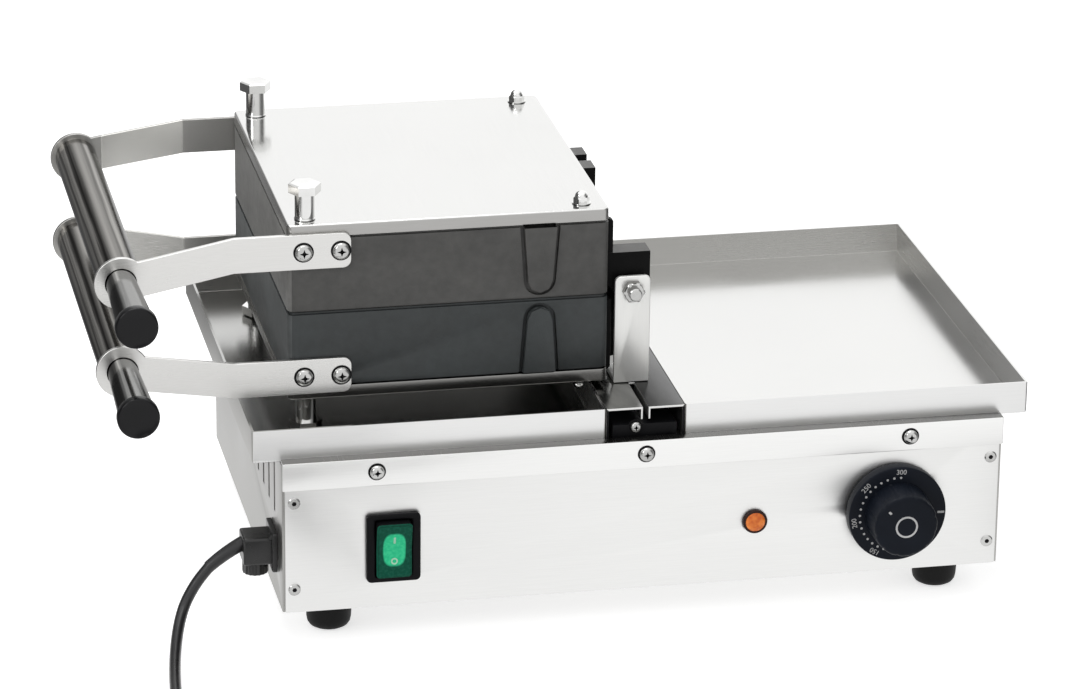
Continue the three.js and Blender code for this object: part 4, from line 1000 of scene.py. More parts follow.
def make_feet():
    for node in ("foot_front_left", "foot_front_right", "foot_rear_left", "foot_rear_right"):
        centre = middle(node)
        radius = half(node).x
        height = box(node)[1].z
        profile = rounded([(0, 0), (radius - FOOT_TAPER, 0), (radius, height)], FOOT_ROUND)
        place = Matrix.Translation((centre.x, centre.y, 0))
        mesh = turned(bmesh.new(), [*profile, (0, height)], place)
        piece(f"{node}_rubber", mesh, "base", FOOT_RUBBER, [node])


# Switch
BEZEL_CORNER = 3
BEZEL_ROUND = 1.1
BEZEL_BORDER = 3.6
BEZEL_WIDER = 1.48
NECK_INSET = 3
NECK_DEPTH = 22
NECK_WALL = 2
ROCKER_GAP = 0.35
ROCKER_END_GAP = 0.4
ROCKER_CORNER = 2.4
ROCKER_ROUND = 0.7
ROCKER_DEPTH = 6
ROCKER_PROUD = 10
ROCKER_PIVOT = 3.7
ROCKER_TILT = math.radians(4.5)
ROCKER_VALLEY = math.radians(7)
ROCKER_SPLITS = 12
PANE_INSET = 1.2
PANE_RAISE = 0.6
GLOW_WIDTH = 7
GLOW_HEIGHT = 11
GLOW_POWER = 3
GLOW_EDGE = (0.75, 1.1)
GREEN_SCALE = 500
GREEN_DARK = ((0.003, 0.075, 0.044), (0.007, 0.11, 0.066))
GREEN_BRIGHT = ((0.03, 0.6, 0.28), (0.06, 0.72, 0.36))
GREEN_ROUGHNESS = (0.2, 0.32)
MARK_LIFT = 0.1
MARK_DEPTH = 0.2
MARK_WIDTH = 1.3
MARK_HEIGHT = 4.4
MARK_PLACE = 7
ZERO_RADIUS = 2.1
ZERO_STROKE = 0.9


def on_panel(node):
    """A control's middle, at the face of the front panel."""
    centre = middle(node)
    centre.y = PANEL_FACE
    return centre


def green_lens(centre):
    """The rocker's green plastic, lit from behind in an oval round its middle."""
    finish = Finish("green_plastic", (0.008, 0.09, 0.045), Roughness=0.25, Specular_IOR_Level=0.08)
    place = in_frame(centre)
    powers = []
    for axis, reach in (("X", GLOW_WIDTH), ("Z", GLOW_HEIGHT)):
        away = finish.maths("DIVIDE", finish.offset(axis, place), reach * MM)
        powers.append(finish.maths("POWER", finish.maths("ABSOLUTE", away), GLOW_POWER))
    glow = finish.spread(finish.maths("ADD", *powers), 1, 0, *GLOW_EDGE)
    grain = finish.noise(GREEN_SCALE, detail=2)
    uneven = finish.spread(grain, 0, 1)
    dark = finish.blend(uneven, *GREEN_DARK)
    bright = finish.blend(uneven, *GREEN_BRIGHT)
    finish.colour(finish.blend(glow, dark, bright))
    finish.rough(finish.spread(grain, *GREEN_ROUGHNESS))
    return finish.material


def make_switch():
    size = half("switch_housing").xz
    centre = on_panel("switch_housing")
    proud = PANEL_FACE - box("switch_housing")[0].y
    front = rounded([
        (NECK_INSET, CLEARANCE),
        (0, CLEARANCE),
        (0, proud),
        (BEZEL_BORDER, proud),
        (BEZEL_BORDER, -NECK_DEPTH + NECK_WALL),
    ], BEZEL_ROUND)
    profile = [(NECK_INSET, -NECK_DEPTH), *front]
    place = facing_front(*centre)
    mesh = box_shell(bmesh.new(), -size, size, BEZEL_CORNER, profile, place, wider=BEZEL_WIDER)
    piece("switch_bezel", mesh, "base", BLACK_PLASTIC_AND_SHADE, ["switch_housing"])
    make_rocker(size, centre)


def rocker_bend(half_height, pivot):
    """Where a point of the rocker's flat form comes to, in its valley and tilted about its pivot."""
    cos, sin = math.cos(ROCKER_TILT), math.sin(ROCKER_TILT)

    def place(point):
        forward = point.z - (half_height - abs(point.y)) * math.tan(ROCKER_VALLEY)
        back = pivot.y - forward * cos - point.y * sin
        return Vector((pivot.x + point.x, back, pivot.z + point.y * cos - forward * sin))

    return place


def make_rocker(bezel_size, centre):
    pivot = centre + Vector((0, ROCKER_PIVOT, 0))
    well = bezel_size - Vector((BEZEL_WIDER * BEZEL_BORDER, BEZEL_BORDER))
    size = well - Vector((ROCKER_GAP, ROCKER_END_GAP))
    bend = rocker_bend(size.y, pivot)
    profile = rounded([
        (0, ROCKER_PROUD - ROCKER_DEPTH),
        (0, ROCKER_PROUD),
        (PANE_INSET, ROCKER_PROUD),
        (PANE_INSET, ROCKER_PROUD + PANE_RAISE),
        (2 * PANE_INSET, ROCKER_PROUD + PANE_RAISE),
    ], ROCKER_ROUND)
    mesh = box_shell(bmesh.new(), -size, size, ROCKER_CORNER, profile)
    for split in range(1, ROCKER_SPLITS):
        sliced(mesh, (0, size.y * (2 * split / ROCKER_SPLITS - 1), 0), (0, 1, 0))
    marks = bmesh.new()
    top = ROCKER_PROUD + PANE_RAISE + MARK_LIFT
    stroke = Vector((MARK_WIDTH, MARK_HEIGHT)) / 2
    one = Vector((0, MARK_PLACE))
    box_shell(marks, one - stroke, one + stroke, MARK_WIDTH / 3, [(0, top - MARK_DEPTH), (0, top)])
    zero = hoop(ZERO_RADIUS - ZERO_STROKE, ZERO_RADIUS, top - MARK_DEPTH, top)
    turned(marks, zero, Matrix.Translation((0, -MARK_PLACE, 0)), SMALL_STEPS, closed=True)
    for flat in (mesh, marks):
        for vert in flat.verts:
            vert.co = bend(vert.co)
    rocker = piece("switch_button", mesh, "rocker", green_lens(centre), ["switch_rocker"])
    # Painted shade: the rocker's sides, in the bezel's well, drawn black
    paint(rocker, BLACK_PLASTIC_AND_SHADE, lambda centre, normal: abs(normal.y) < FACING)
    dressed(raw_object("switch_marks", marks), "rocker", PALE_PRINT)


# Pilot lamp
LAMP_RING = 1.5
LAMP_DOME = 1.8
LAMP_RIM_SHARE = 0.35
LAMP_BARREL_SHARE = 0.7
LAMP_SEAT_SHARE = 0.98
# The dome's section over its rim, in shares of its radius and height
LAMP_DOME_SHARES = ((0.9, 0.35), (0.62, 0.75), (0.3, 0.95))
LAMP_FACETS = 8
LAMP_ANGLE = math.radians(12)
LAMP_GLOW = (0.8, 0.2, 0.03)
LAMP_GLOW_STRENGTH = 0.16
AMBER_SCALE = 260
AMBER_DEPTH = 0.1
AMBER_TONES = ((0.5, 0.09, 0.015), (0.85, 0.26, 0.05))


def amber():
    """The pilot lamp's moulded lens."""
    finish = Finish("amber_glass", (0.62, 0.13, 0.02), Roughness=0.12, Specular_IOR_Level=0.25)
    cells = finish.noise(AMBER_SCALE, detail=1)
    finish.colour(finish.blend(finish.spread(cells, 0, 1), *AMBER_TONES))
    finish.feed(finish.shader.inputs["Emission Color"], opaque(LAMP_GLOW))
    finish.feed(finish.shader.inputs["Emission Strength"], LAMP_GLOW_STRENGTH)
    finish.bump(cells, AMBER_DEPTH)
    return finish.material


def make_lamp():
    low, high = box("pilot_lamp")
    radius = half("pilot_lamp").x
    place = along_y(*on_panel("pilot_lamp"), -1)
    lens = radius - LAMP_RING
    depth = high.y - PANEL_FACE
    rim_height = LAMP_RIM_SHARE * (PANEL_FACE - low.y)
    section = [(lens, CLEARANCE), (radius, CLEARANCE), (radius, rim_height), (lens, rim_height)]
    rim = turned(bmesh.new(), rounded(section, LAMP_RING / 2), place, closed=True)
    piece("lamp_ring", rim, "base", DARK_RING, ["pilot_lamp"])
    barrel = LAMP_BARREL_SHARE * lens
    seat = LAMP_SEAT_SHARE * lens
    profile = [(0, -depth), (barrel, -depth), (barrel, 0), (seat, 0), (seat, rim_height)]
    facets = polygon(LAMP_FACETS)
    for share, rise in LAMP_DOME_SHARES:
        profile.append((share * lens, rim_height + rise * LAMP_DOME, facets))
    profile.append((0, rim_height + LAMP_DOME))
    glass = turned(bmesh.new(), profile, place)
    piece("lamp_lens", glass, "base", amber(), angle=LAMP_ANGLE)


# Thermostat knob, with the places of its marks in degrees from the right
SKIRT_RADIUS = 30.6
SKIRT_FRONT = 9.6
SKIRT_BACK = 1.6
SKIRT_ROUND = 0.9
CAP_RADIUS = 20.6
CAP_RISE = 0.5
CAP_TAPER = 0.8
CAP_ROUND = 2.6
CAP_FLUTES = 12
FLUTE_STEPS = 12
FLUTE_WIDTH_SHARE = 0.38
FLUTE_DEPTH_SHARE = 0.025
SHAFT_RADIUS = 3
SCALE_RADIUS = 23.9
SCALE_START = 87
SCALE_STEP = 10.2
SCALE_DOTS = 17
DOT_RADIUS = 0.75
NUMBERS = (("300", 87), ("250", 138), ("200", 189), ("150", 240))
NUMBER_RADIUS = 27.4
NUMBER_SIZE = 4.4
POINTER_ANGLE = -1
POINTER_LENGTH = 4.4
POINTER_WIDTH = 1.4
PRINT_GAUGE = 0.12
BADGE_RADIUS = 7
BADGE_STROKE = 1.2
CAP_TICK_ANGLE = 137


def fluted(angle):
    """The outline of the knob's cap, with a shallow groove in the middle of each side."""
    side = 2 * math.pi / CAP_FLUTES
    away = abs((angle % side) / side - 0.5) * 2
    groove = max(0.0, 1 - away / FLUTE_WIDTH_SHARE)
    return 1 - FLUTE_DEPTH_SHARE * math.sin(groove * math.pi / 2) ** 2


def make_knob():
    place = along_y(*on_panel("thermostat_knob"), -1)
    cap_front = PANEL_FACE - box("thermostat_knob")[0].y
    shaft_end = SKIRT_BACK - 2 * SHAFT_RADIUS
    skirt = rounded([
        (SHAFT_RADIUS, SKIRT_BACK),
        (SKIRT_RADIUS, SKIRT_BACK),
        (SKIRT_RADIUS, SKIRT_FRONT),
        (CAP_RADIUS, SKIRT_FRONT),
    ], SKIRT_ROUND)
    cap = rounded([
        (CAP_RADIUS, SKIRT_FRONT + CAP_RISE),
        (CAP_RADIUS - CAP_TAPER, cap_front),
        (CAP_RADIUS - CAP_TAPER - 2 * CAP_ROUND, cap_front),
    ], CAP_ROUND)
    profile = [(0, shaft_end), (SHAFT_RADIUS, shaft_end), *skirt, *shaped(cap, fluted), (0, cap_front)]
    mesh = turned(bmesh.new(), profile, place, CAP_FLUTES * FLUTE_STEPS)
    piece("knob_body", mesh, "knob", KNOB_PLASTIC, ["thermostat_knob"])
    make_dial(place, cap_front)


def written(mesh, text, size, place):
    """Adds a word as a thin raised print, with its middle at the place."""
    font = bpy.data.curves.new(text, "FONT")
    font.body = text
    font.size = size
    font.align_x = "CENTER"
    font.align_y = "CENTER"
    font.extrude = PRINT_GAUGE / 2
    letters = in_scene(text, font)
    data = evaluated_mesh(letters)
    data.transform(place)
    mesh.from_mesh(data)
    bpy.data.objects.remove(letters)
    bpy.data.meshes.remove(data)


def on_dial(degrees, radius, height):
    """A place on the knob by its angle, its distance from the middle and its height."""
    return Matrix.Rotation(math.radians(degrees), 4, "Z") @ Matrix.Translation((radius, 0, height))


def make_dial(place, cap_front):
    """The dots, numbers and pointer on the skirt, and a tick and a plain ring on the cap."""
    mesh = bmesh.new()
    dot = disc(DOT_RADIUS, 0, PRINT_GAUGE)
    for index in range(SCALE_DOTS):
        spot = on_dial(SCALE_START + SCALE_STEP * index, SCALE_RADIUS, SKIRT_FRONT)
        turned(mesh, dot, place @ spot, SMALL_STEPS)
    upright = Matrix.Rotation(-math.pi / 2, 4, "Z")
    for text, degrees in NUMBERS:
        spot = on_dial(degrees, NUMBER_RADIUS, SKIRT_FRONT + PRINT_GAUGE / 2)
        written(mesh, text, NUMBER_SIZE, place @ spot @ upright)
    for degrees, radius, height, length in (
        (POINTER_ANGLE, NUMBER_RADIUS, SKIRT_FRONT, POINTER_LENGTH),
        (CAP_TICK_ANGLE, CAP_RADIUS - CAP_TAPER - 2 * CAP_ROUND, cap_front, POINTER_LENGTH / 2),
    ):
        size = Vector((length, POINTER_WIDTH)) / 2
        spot = place @ on_dial(degrees, radius, height)
        box_shell(mesh, -size, size, POINTER_WIDTH / 4, [(0, 0), (0, PRINT_GAUGE)], spot)
    badge = hoop(BADGE_RADIUS - BADGE_STROKE, BADGE_RADIUS, cap_front, cap_front + PRINT_GAUGE)
    turned(mesh, badge, place, closed=True)
    piece("dial_print", mesh, "knob", WHITE_PRINT)


# Hinge bolts
NUT_DEPTH = 4.5
NUT_RADIUS = 6.9
TIP_RADIUS = 4
COLLAR_RADIUS = 8
COLLAR_DEPTH = 3.5
HEAD_RADIUS = 7.6
HEAD_DEPTH = 6
BRACKET_GAUGE = 3


def make_bolts():
    """The bolts, each with its nut before the bracket, and its collar and head behind; painted shade draws
    them black behind the bracket and the sides of the nut and tip dark.
    """
    for end, way in (("front", 1), ("rear", -1)):
        node = f"pivot_bolt_{end}"
        tip, inner = sorted(way * corner.y for corner in box(node))
        face = min(way * corner.y for corner in box(f"hinge_bracket_{end}"))
        nut_back = face - CLEARANCE
        nut_front = nut_back - NUT_DEPTH
        collar = face + BRACKET_GAUGE + CLEARANCE
        profile = [
            (0, tip),
            (TIP_RADIUS - EDGE_ROUND, tip),
            (TIP_RADIUS, tip + EDGE_ROUND),
            (TIP_RADIUS, nut_front),
            (NUT_RADIUS - 2 * EDGE_ROUND, nut_front),
            (NUT_RADIUS, nut_front + EDGE_ROUND, hexagon),
            (NUT_RADIUS, nut_back, hexagon),
            (TIP_RADIUS, nut_back),
            (TIP_RADIUS, collar),
            (COLLAR_RADIUS, collar),
            (COLLAR_RADIUS, collar + COLLAR_DEPTH),
            (TIP_RADIUS, collar + COLLAR_DEPTH),
            (TIP_RADIUS, inner - HEAD_DEPTH),
            (HEAD_RADIUS, inner - HEAD_DEPTH, hexagon),
            (HEAD_RADIUS, inner - EDGE_ROUND, hexagon),
            (HEAD_RADIUS - 2 * EDGE_ROUND, inner),
            (0, inner),
        ]
        mesh = turned(bmesh.new(), profile, along_y(0, 0, HINGE_HEIGHT, way), 2 * SMALL_STEPS)
        bolt = piece(f"hinge_bolt_{end}", mesh, "base", SCREW_STEEL, [node])
        # Painted shade: everything behind the bracket's face drawn black
        paint(bolt, BLACK_STEEL_AND_SHADE, lambda centre, normal: abs(centre.y) < abs(face))
        # Painted shade: the sides of the nut and tip drawn dark
        paint(bolt, SHADED_STEEL, lambda centre, normal: (
            abs(normal.y) < FACING and abs(centre.y) > abs(face)
        ))


# Cable entry
GLAND_CORNER = 2
GLAND_EDGE = 0.8
GLAND_PLATE_GAUGE = 3
GLAND_PLATE_HALF = 13
GLAND_BODY_LENGTH = 17
GLAND_BODY_HALF = Vector((10, 9))
GLAND_NUT_RADIUS = 8
GLAND_NUT_RIBS = 16
GLAND_NUT_RIB_SHARE = 0.05
GLAND_NUT_RIB_STEPS = 6
GLAND_NUT_TOP = 50
GLAND_NUT_SETBACK = 8.6
GLAND_SCREW_RADIUS = 2.4
GLAND_SCREW_DEPTH = 1
GLAND_SCREW_PITCH = 9.6


def ribbed(angle):
    """The outline of the gland's nut, with its ribs at 1."""
    return 1 - GLAND_NUT_RIB_SHARE * (0.5 + 0.5 * math.cos(GLAND_NUT_RIBS * angle))


def make_gland():
    low, high = box("cord_gland")
    centre = middle("cord_gland")
    face = box("base_housing")[0].x - CLEARANCE
    place = facing_left(face, centre.y, high.z - GLAND_PLATE_HALF)
    plate_half = Vector((half("cord_gland").y, GLAND_PLATE_HALF))
    reach = GLAND_PLATE_GAUGE + GLAND_BODY_LENGTH
    mesh = bmesh.new()
    for size, start, end, edge in (
        (plate_half, 0, GLAND_PLATE_GAUGE, GLAND_EDGE),
        (GLAND_BODY_HALF, GLAND_PLATE_GAUGE, reach, 2 * GLAND_EDGE),
    ):
        profile = rounded([(0, start), (0, end), (2 * edge, end)], edge)
        box_shell(mesh, -size, size, GLAND_CORNER, profile, place)
    nut = Matrix.Translation((face - GLAND_PLATE_GAUGE - GLAND_NUT_SETBACK, centre.y, 0))
    rim = rounded(disc(GLAND_NUT_RADIUS, GLAND_NUT_TOP, low.z), GLAND_EDGE)
    turned(mesh, shaped(rim, ribbed), nut, GLAND_NUT_RIB_STEPS * GLAND_NUT_RIBS)
    head = [
        (0, 0),
        (GLAND_SCREW_RADIUS, 0),
        (GLAND_SCREW_RADIUS, GLAND_SCREW_DEPTH),
        (GLAND_SCREW_RADIUS - EDGE_ROUND, GLAND_SCREW_DEPTH + EDGE_ROUND),
        (0, GLAND_SCREW_DEPTH + EDGE_ROUND),
    ]
    for pitch in (-GLAND_SCREW_PITCH, GLAND_SCREW_PITCH):
        spot = Matrix.Translation((pitch, pitch, GLAND_PLATE_GAUGE))
        turned(mesh, head, place @ spot, SMALL_STEPS)
    piece("cable_entry", mesh, "base", GLAND_PLASTIC, ["cord_gland"])


# Irons: the name, body and side of each, down or up from the parting plane
IRONS = (("lower", "lower_plate", -1), ("upper", "lid", 1))
CASTING_TOP = 47.4
CASTING_EDGE = 0.5
CASTING_CORNER = 4
CLEAN_ANGLE = 0.01
GROOVE_WIDTH = 2.4
GROOVE_DEPTH = 3.2
GROOVE_LEAD = 3
PARTING_REBATE = 1.3
COVER_REBATE = 1
REBATE_DEPTH = 1.8
RIB_MIDDLE = -58.8
RIB_WIDTH = 20
RIB_TIP = 15
RIB_TIP_RISE = 5
WEB_GAUGE = 6
WEB_START = 6
WEB_BEVEL = 3
# Each web's name, iron, body and side, its reach, its place behind the front bolt's collar, and its end
WEBS = (
    ("upper_web", "upper", "lid", 1, 5.5, 0, 46),
    ("lower_web", "lower", "lower_plate", -1, 10.5, 15, 53),
    ("lower_lip", "lower", "lower_plate", -1, 4, -4, 53),
)
COVER_GAUGE = 1.5
COVER_BEND = 1.4


def iron_place(side):
    """Turns an iron's own height over the parting plane into the row's height, up or down."""
    return Matrix.Translation((0, 0, HINGE_HEIGHT)) @ Matrix.Diagonal((1, 1, side, 1))


def own_height(side, node):
    """How far a node reaches over the parting plane of its iron."""
    low, high = box(node)
    return high.z - HINGE_HEIGHT if side > 0 else HINGE_HEIGHT - low.z


def rib_outline(offset):
    """The rib's outline on the plate's side, moved outwards by the offset."""
    tip = RIB_TIP / 2
    centre = RIB_TIP_RISE + tip
    slope = (RIB_WIDTH - RIB_TIP) / 2 / (CASTING_TOP - centre)
    top = CASTING_TOP + GROOVE_LEAD
    reach = tip + offset + slope * (top - centre)
    return [
        (RIB_MIDDLE - reach, top),
        *arc((RIB_MIDDLE, centre), tip + offset, 180, 360, 2 * CORNER_STEPS),
        (RIB_MIDDLE + reach, top),
    ]


def rib_grooves(low, high, place):
    """The cutter for the grooves round the ribs of one iron."""
    mesh = bmesh.new()
    for face, out in ((low.y, -1), (high.y, 1)):
        front = face + out * GROOVE_LEAD
        back = face - out * GROOVE_DEPTH
        stations = []
        for inner, outer in zip(rib_outline(0), rib_outline(GROOVE_WIDTH)):
            ring = []
            for (x, z), y in ((inner, front), (outer, front), (outer, back), (inner, back)):
                ring.append(mesh.verts.new(place @ Vector((x, y, z))))
            stations.append(ring)
        for first, second in zip(stations, stations[1:]):
            bridge_loops(mesh, first, second)
        mesh.faces.new(stations[0])
        mesh.faces.new(stations[-1])
    return raw_object("groove_cutter", mesh)


def rebate(low, high, start, end, place):
    """The cutter for a rebate round an iron between two heights."""
    section = [(-GROOVE_LEAD, start), (REBATE_DEPTH, start), (REBATE_DEPTH, end), (-GROOVE_LEAD, end)]
    mesh = box_shell(bmesh.new(), low.xy, high.xy, CASTING_CORNER, section, place, closed=True)
    return raw_object("rebate_cutter", mesh)


def make_castings():
    """The plates as packed, with the grooves that their castings have round the ribs and edges."""
    for name, body, side in IRONS:
        node = f"{name}_casting"
        low, high = box(f"{name}_cover")
        place = iron_place(side)
        casting = in_scene(f"{name}_iron", NODES[node].data.copy())
        clean = bmesh.new()
        clean.from_mesh(casting.data)
        bmesh.ops.remove_doubles(clean, verts=clean.verts, dist=MERGE_REACH)
        bmesh.ops.dissolve_limit(clean, angle_limit=CLEAN_ANGLE, verts=clean.verts, edges=clean.edges)
        clean.to_mesh(casting.data)
        clean.free()
        cut(casting, rib_grooves(low, high, place))
        cut(casting, rebate(low, high, -GROOVE_LEAD, PARTING_REBATE, place))
        cut(casting, rebate(low, high, CASTING_TOP - COVER_REBATE, CASTING_TOP + GROOVE_LEAD, place))
        bevelled(casting, CASTING_EDGE)
        iron, lit_end_iron = (UPPER_IRON, LIT_UPPER_END) if side > 0 else (LOWER_IRON, LIT_LOWER_END)
        dressed(casting, body, iron, [node])
        left = low.x + REBATE_DEPTH + CLEARANCE
        right = high.x + CLEARANCE
        # Painted shade: the lugs' faces, but for their tops, drawn near black
        paint(casting, SHADED_LUG_IRON, lambda centre, normal: centre.x > right and normal.z < FACING)
        # Painted light: the left end faces drawn lighter
        paint(casting, lit_end_iron, lambda centre, normal: centre.x < left and normal.x < -FACING)


def make_web(name, iron, body, side, reach, setback, end):
    """A cast web that stiffens an iron's end next to the front bracket, drawn near black as painted shade.
    """
    collar = box("hinge_bracket_front")[0].y + BRACKET_GAUGE + COLLAR_DEPTH
    front = collar + 3 * CLEARANCE + setback
    start = box(f"{iron}_cover")[1].x - CLEARANCE
    outline = [
        (start, WEB_START),
        (start + reach, WEB_START),
        (start + reach, end - WEB_BEVEL),
        (start, end),
    ]
    upright = Matrix(((1, 0, 0, 0), (0, 0, 1, 0), (0, side, 0, HINGE_HEIGHT), (0, 0, 0, 1)))
    web = raw_object(name, slab(outline, front, front + WEB_GAUGE, upright))
    dressed(bevelled(web, CASTING_EDGE), body, SHADED_LUG_IRON)


def make_covers():
    for name, body, side in IRONS:
        node = f"{name}_cover"
        low, high = box(node)
        bottom = CASTING_TOP + CLEARANCE
        top = bottom + high.z - low.z
        profile = rounded([
            (COVER_GAUGE + 2 * COVER_BEND, top - COVER_GAUGE),
            (COVER_GAUGE, top - COVER_GAUGE),
            (COVER_GAUGE, bottom),
            (0, bottom),
            (0, top),
            (2 * COVER_BEND, top),
        ], COVER_BEND)
        mesh = box_shell(bmesh.new(), low.xy, high.xy, CASTING_CORNER, profile, iron_place(side))
        # Painted shade: the lower cover, seen from below, in a dark copy of the cover steel
        sheet = COVER_SHEET if side > 0 else SHADED_STEEL
        cover = piece(f"{name}_cover_sheet", mesh, body, sheet, [node])
        # Painted shade on the upper cover's sides
        if side > 0:
            paint(cover, SHADED_COVER_EDGE, lambda centre, normal: abs(normal.z) < FACING)


# Stands and nuts
STAND_RADIUS = 6
STAND_HEAD_RADIUS = 9.9
STAND_HEAD_DEPTH = 6
STAND_COLLAR = 0.4
NUT_COLLAR = 4
ACORN_RADIUS = 5
ACORN_SEAT_SHARE = 1.15
ACORN_SHOULDER_SHARE = 0.84
ACORN_DOME_SHARE = 0.8
FACET_ANGLE = math.radians(20)


def stand_profile(foot, top):
    """A turned column on a low collar, with a hexagonal head."""
    neck = top - STAND_HEAD_DEPTH
    return [
        (0, foot),
        (STAND_RADIUS + STAND_COLLAR, foot),
        (STAND_RADIUS + STAND_COLLAR, foot + STAND_COLLAR),
        (STAND_RADIUS, foot + STAND_COLLAR + EDGE_ROUND),
        (STAND_RADIUS, neck),
        (STAND_HEAD_RADIUS, neck, hexagon),
        (STAND_HEAD_RADIUS, top - EDGE_ROUND, hexagon),
        (STAND_HEAD_RADIUS - 2 * EDGE_ROUND, top, hexagon),
        (0, top),
    ]


def nut_profile(foot, top):
    """A domed nut on a thin seat."""
    collar = foot + NUT_COLLAR
    profile = [
        (0, foot),
        (ACORN_SEAT_SHARE * ACORN_RADIUS, foot),
        (ACORN_SEAT_SHARE * ACORN_RADIUS, foot + STAND_COLLAR),
        (ACORN_RADIUS, foot + STAND_COLLAR, hexagon),
        (ACORN_RADIUS, collar - EDGE_ROUND, hexagon),
        (ACORN_SHOULDER_SHARE * ACORN_RADIUS, collar),
    ]
    for radius, height in arc((0, 0), 1, 0, 90, 2 * CORNER_STEPS)[:-1]:
        profile.append((ACORN_DOME_SHARE * ACORN_RADIUS * radius, collar + (top - collar) * height))
    return [*profile, (0, top)]


def make_studs():
    """The irons' stands and domed nuts, on their covers."""
    for name, body, side in IRONS:
        foot = own_height(side, f"{name}_cover") + CLEARANCE
        for end in ("front", "rear"):
            for kind, form, section in (("stand", "column", stand_profile), ("nut", "acorn", nut_profile)):
                node = f"{name}_{kind}_{end}"
                centre = middle(node)
                place = iron_place(side) @ Matrix.Translation((centre.x, centre.y, 0))
                profile = section(foot, own_height(side, node))
                mesh = turned(bmesh.new(), profile, place, 2 * SMALL_STEPS)
                title = f"{name}_{form}_{end}"
                piece(title, mesh, body, CHROME, [node], FACET_ANGLE)


# Handles
STRIP_GAUGE = 3
STRIP_HEIGHT = 22
STRIP_CORNER = 5
STRIP_EDGE = 0.5
STRIP_BEND_REACH = 3
STRIP_BEND_CUTS = (-1.5, -1, -0.5, 0, 0.5, 1, 1.5)
STRIP_BEND_SHARES = (-1, -0.5, 0, 0.5, 1)
STRIP_SCREW_RADIUS = 5.3
STRIP_SCREW_DEPTH = 3
STRIP_RISE = 39.7
STRIP_REACH = 32.5
EYE_RADIUS = 16
EYE_STEPS = 48
ROD_BORE = 9.3
ROD_RADIUS = 9
STUB_RADIUS = 11.2
STUB_SOCKET = 3
END_DOME = 2
END_EDGE = 1.4
GRIP_EDGE = 0.8
GRIP_BORE = 9.4


def strip_outline(right, bend, eye):
    """A strip's outline in X and height, from its round corners at the plate to the eye."""
    flank = STRIP_HEIGHT / 2
    slope = (STRIP_RISE - eye.y) / (bend - eye.x)
    spread = 1 + slope * slope

    def meeting(offset):
        """Where the strip's edge runs into the eye's circle."""
        root = math.sqrt((offset * slope) ** 2 - spread * (offset * offset - EYE_RADIUS ** 2))
        across = (-offset * slope + root) / spread
        return math.degrees(math.atan2(offset + slope * across, across))

    corner = right - STRIP_CORNER
    inset = flank - STRIP_CORNER
    return [
        *arc((corner, STRIP_RISE - inset), STRIP_CORNER, 270, 360),
        *arc((corner, STRIP_RISE + inset), STRIP_CORNER, 0, 90),
        (bend, STRIP_RISE + flank),
        *arc(eye, EYE_RADIUS, meeting(flank), 360 + meeting(-flank), EYE_STEPS),
        (bend, STRIP_RISE - flank),
    ]


def leaning(bend, lean_end, start, shift, x):
    """How far sideways a strip lies at a place along it, with its bends rounded."""
    total = 0
    for step in STRIP_BEND_SHARES:
        share = (bend - x - step * STRIP_BEND_REACH) / (bend - lean_end)
        total += start + shift * min(max(share, 0), 1)
    return total / len(STRIP_BEND_SHARES)


def make_strip(name, end, body, side, way):
    node = f"{name}_strip_{end}"
    low, high = box(node)
    rod = middle(f"{name}_rod")
    eye = Vector((low.x + EYE_RADIUS, abs(rod.z - HINGE_HEIGHT)))
    bend = box(f"{name}_cover")[0].x - STRIP_REACH
    lean_end = eye.x + EYE_RADIUS
    inner, outer = sorted((abs(low.y), abs(high.y)))
    mesh = slab(strip_outline(high.x, bend, eye), -STRIP_GAUGE / 2, STRIP_GAUGE / 2)
    for x in (bend, lean_end):
        for share in STRIP_BEND_CUTS:
            sliced(mesh, (x + share * STRIP_BEND_REACH, 0, 0), (1, 0, 0))
    start = inner + STRIP_GAUGE / 2
    shift = outer - inner - STRIP_GAUGE
    for vert in mesh.verts:
        x, height, across = vert.co
        sideways = leaning(bend, lean_end, start, shift, x)
        vert.co = Vector((x, way * (sideways + across), HINGE_HEIGHT + side * height))
    strip = raw_object(f"{name}_handle_{end}", mesh)
    bore = disc(ROD_BORE, -STRIP_HEIGHT, STRIP_HEIGHT)
    cutter = turned(bmesh.new(), bore, along_y(eye.x, way * outer, rod.z))
    cut(strip, raw_object("bore_cutter", cutter))
    bevelled(strip, STRIP_EDGE)
    dressed(strip, body, STRIP_STEEL if way < 0 else SHADED_REAR_STRIP, [node])
    # Painted shade: the rear strips' parts at the plate and at the eye drawn darker again
    if way > 0:
        paint(strip, SHADED_SIDE_STEEL, lambda centre, normal: not lean_end < centre.x < bend)


def make_strip_screw(name, end, number, body, way):
    node = f"{name}_screw_{end}_{number}"
    low, high = box(node)
    centre = middle(node)
    seat = high.y - STRIP_SCREW_DEPTH if way > 0 else low.y + STRIP_SCREW_DEPTH
    place = along_y(centre.x, seat, centre.z, way)
    shank = high.y - low.y - STRIP_SCREW_DEPTH
    title = f"{name}_pan_{end}_{number}"
    pan_screw(title, place, STRIP_SCREW_RADIUS, STRIP_SCREW_DEPTH, shank, body, [node])


def make_strips():
    for name, body, side in IRONS:
        for end, way in (("front", -1), ("rear", 1)):
            make_strip(name, end, body, side, way)
        for end, way in (("front", -1), ("rear", 1)):
            for number in (1, 2):
                make_strip_screw(name, end, number, body, way)


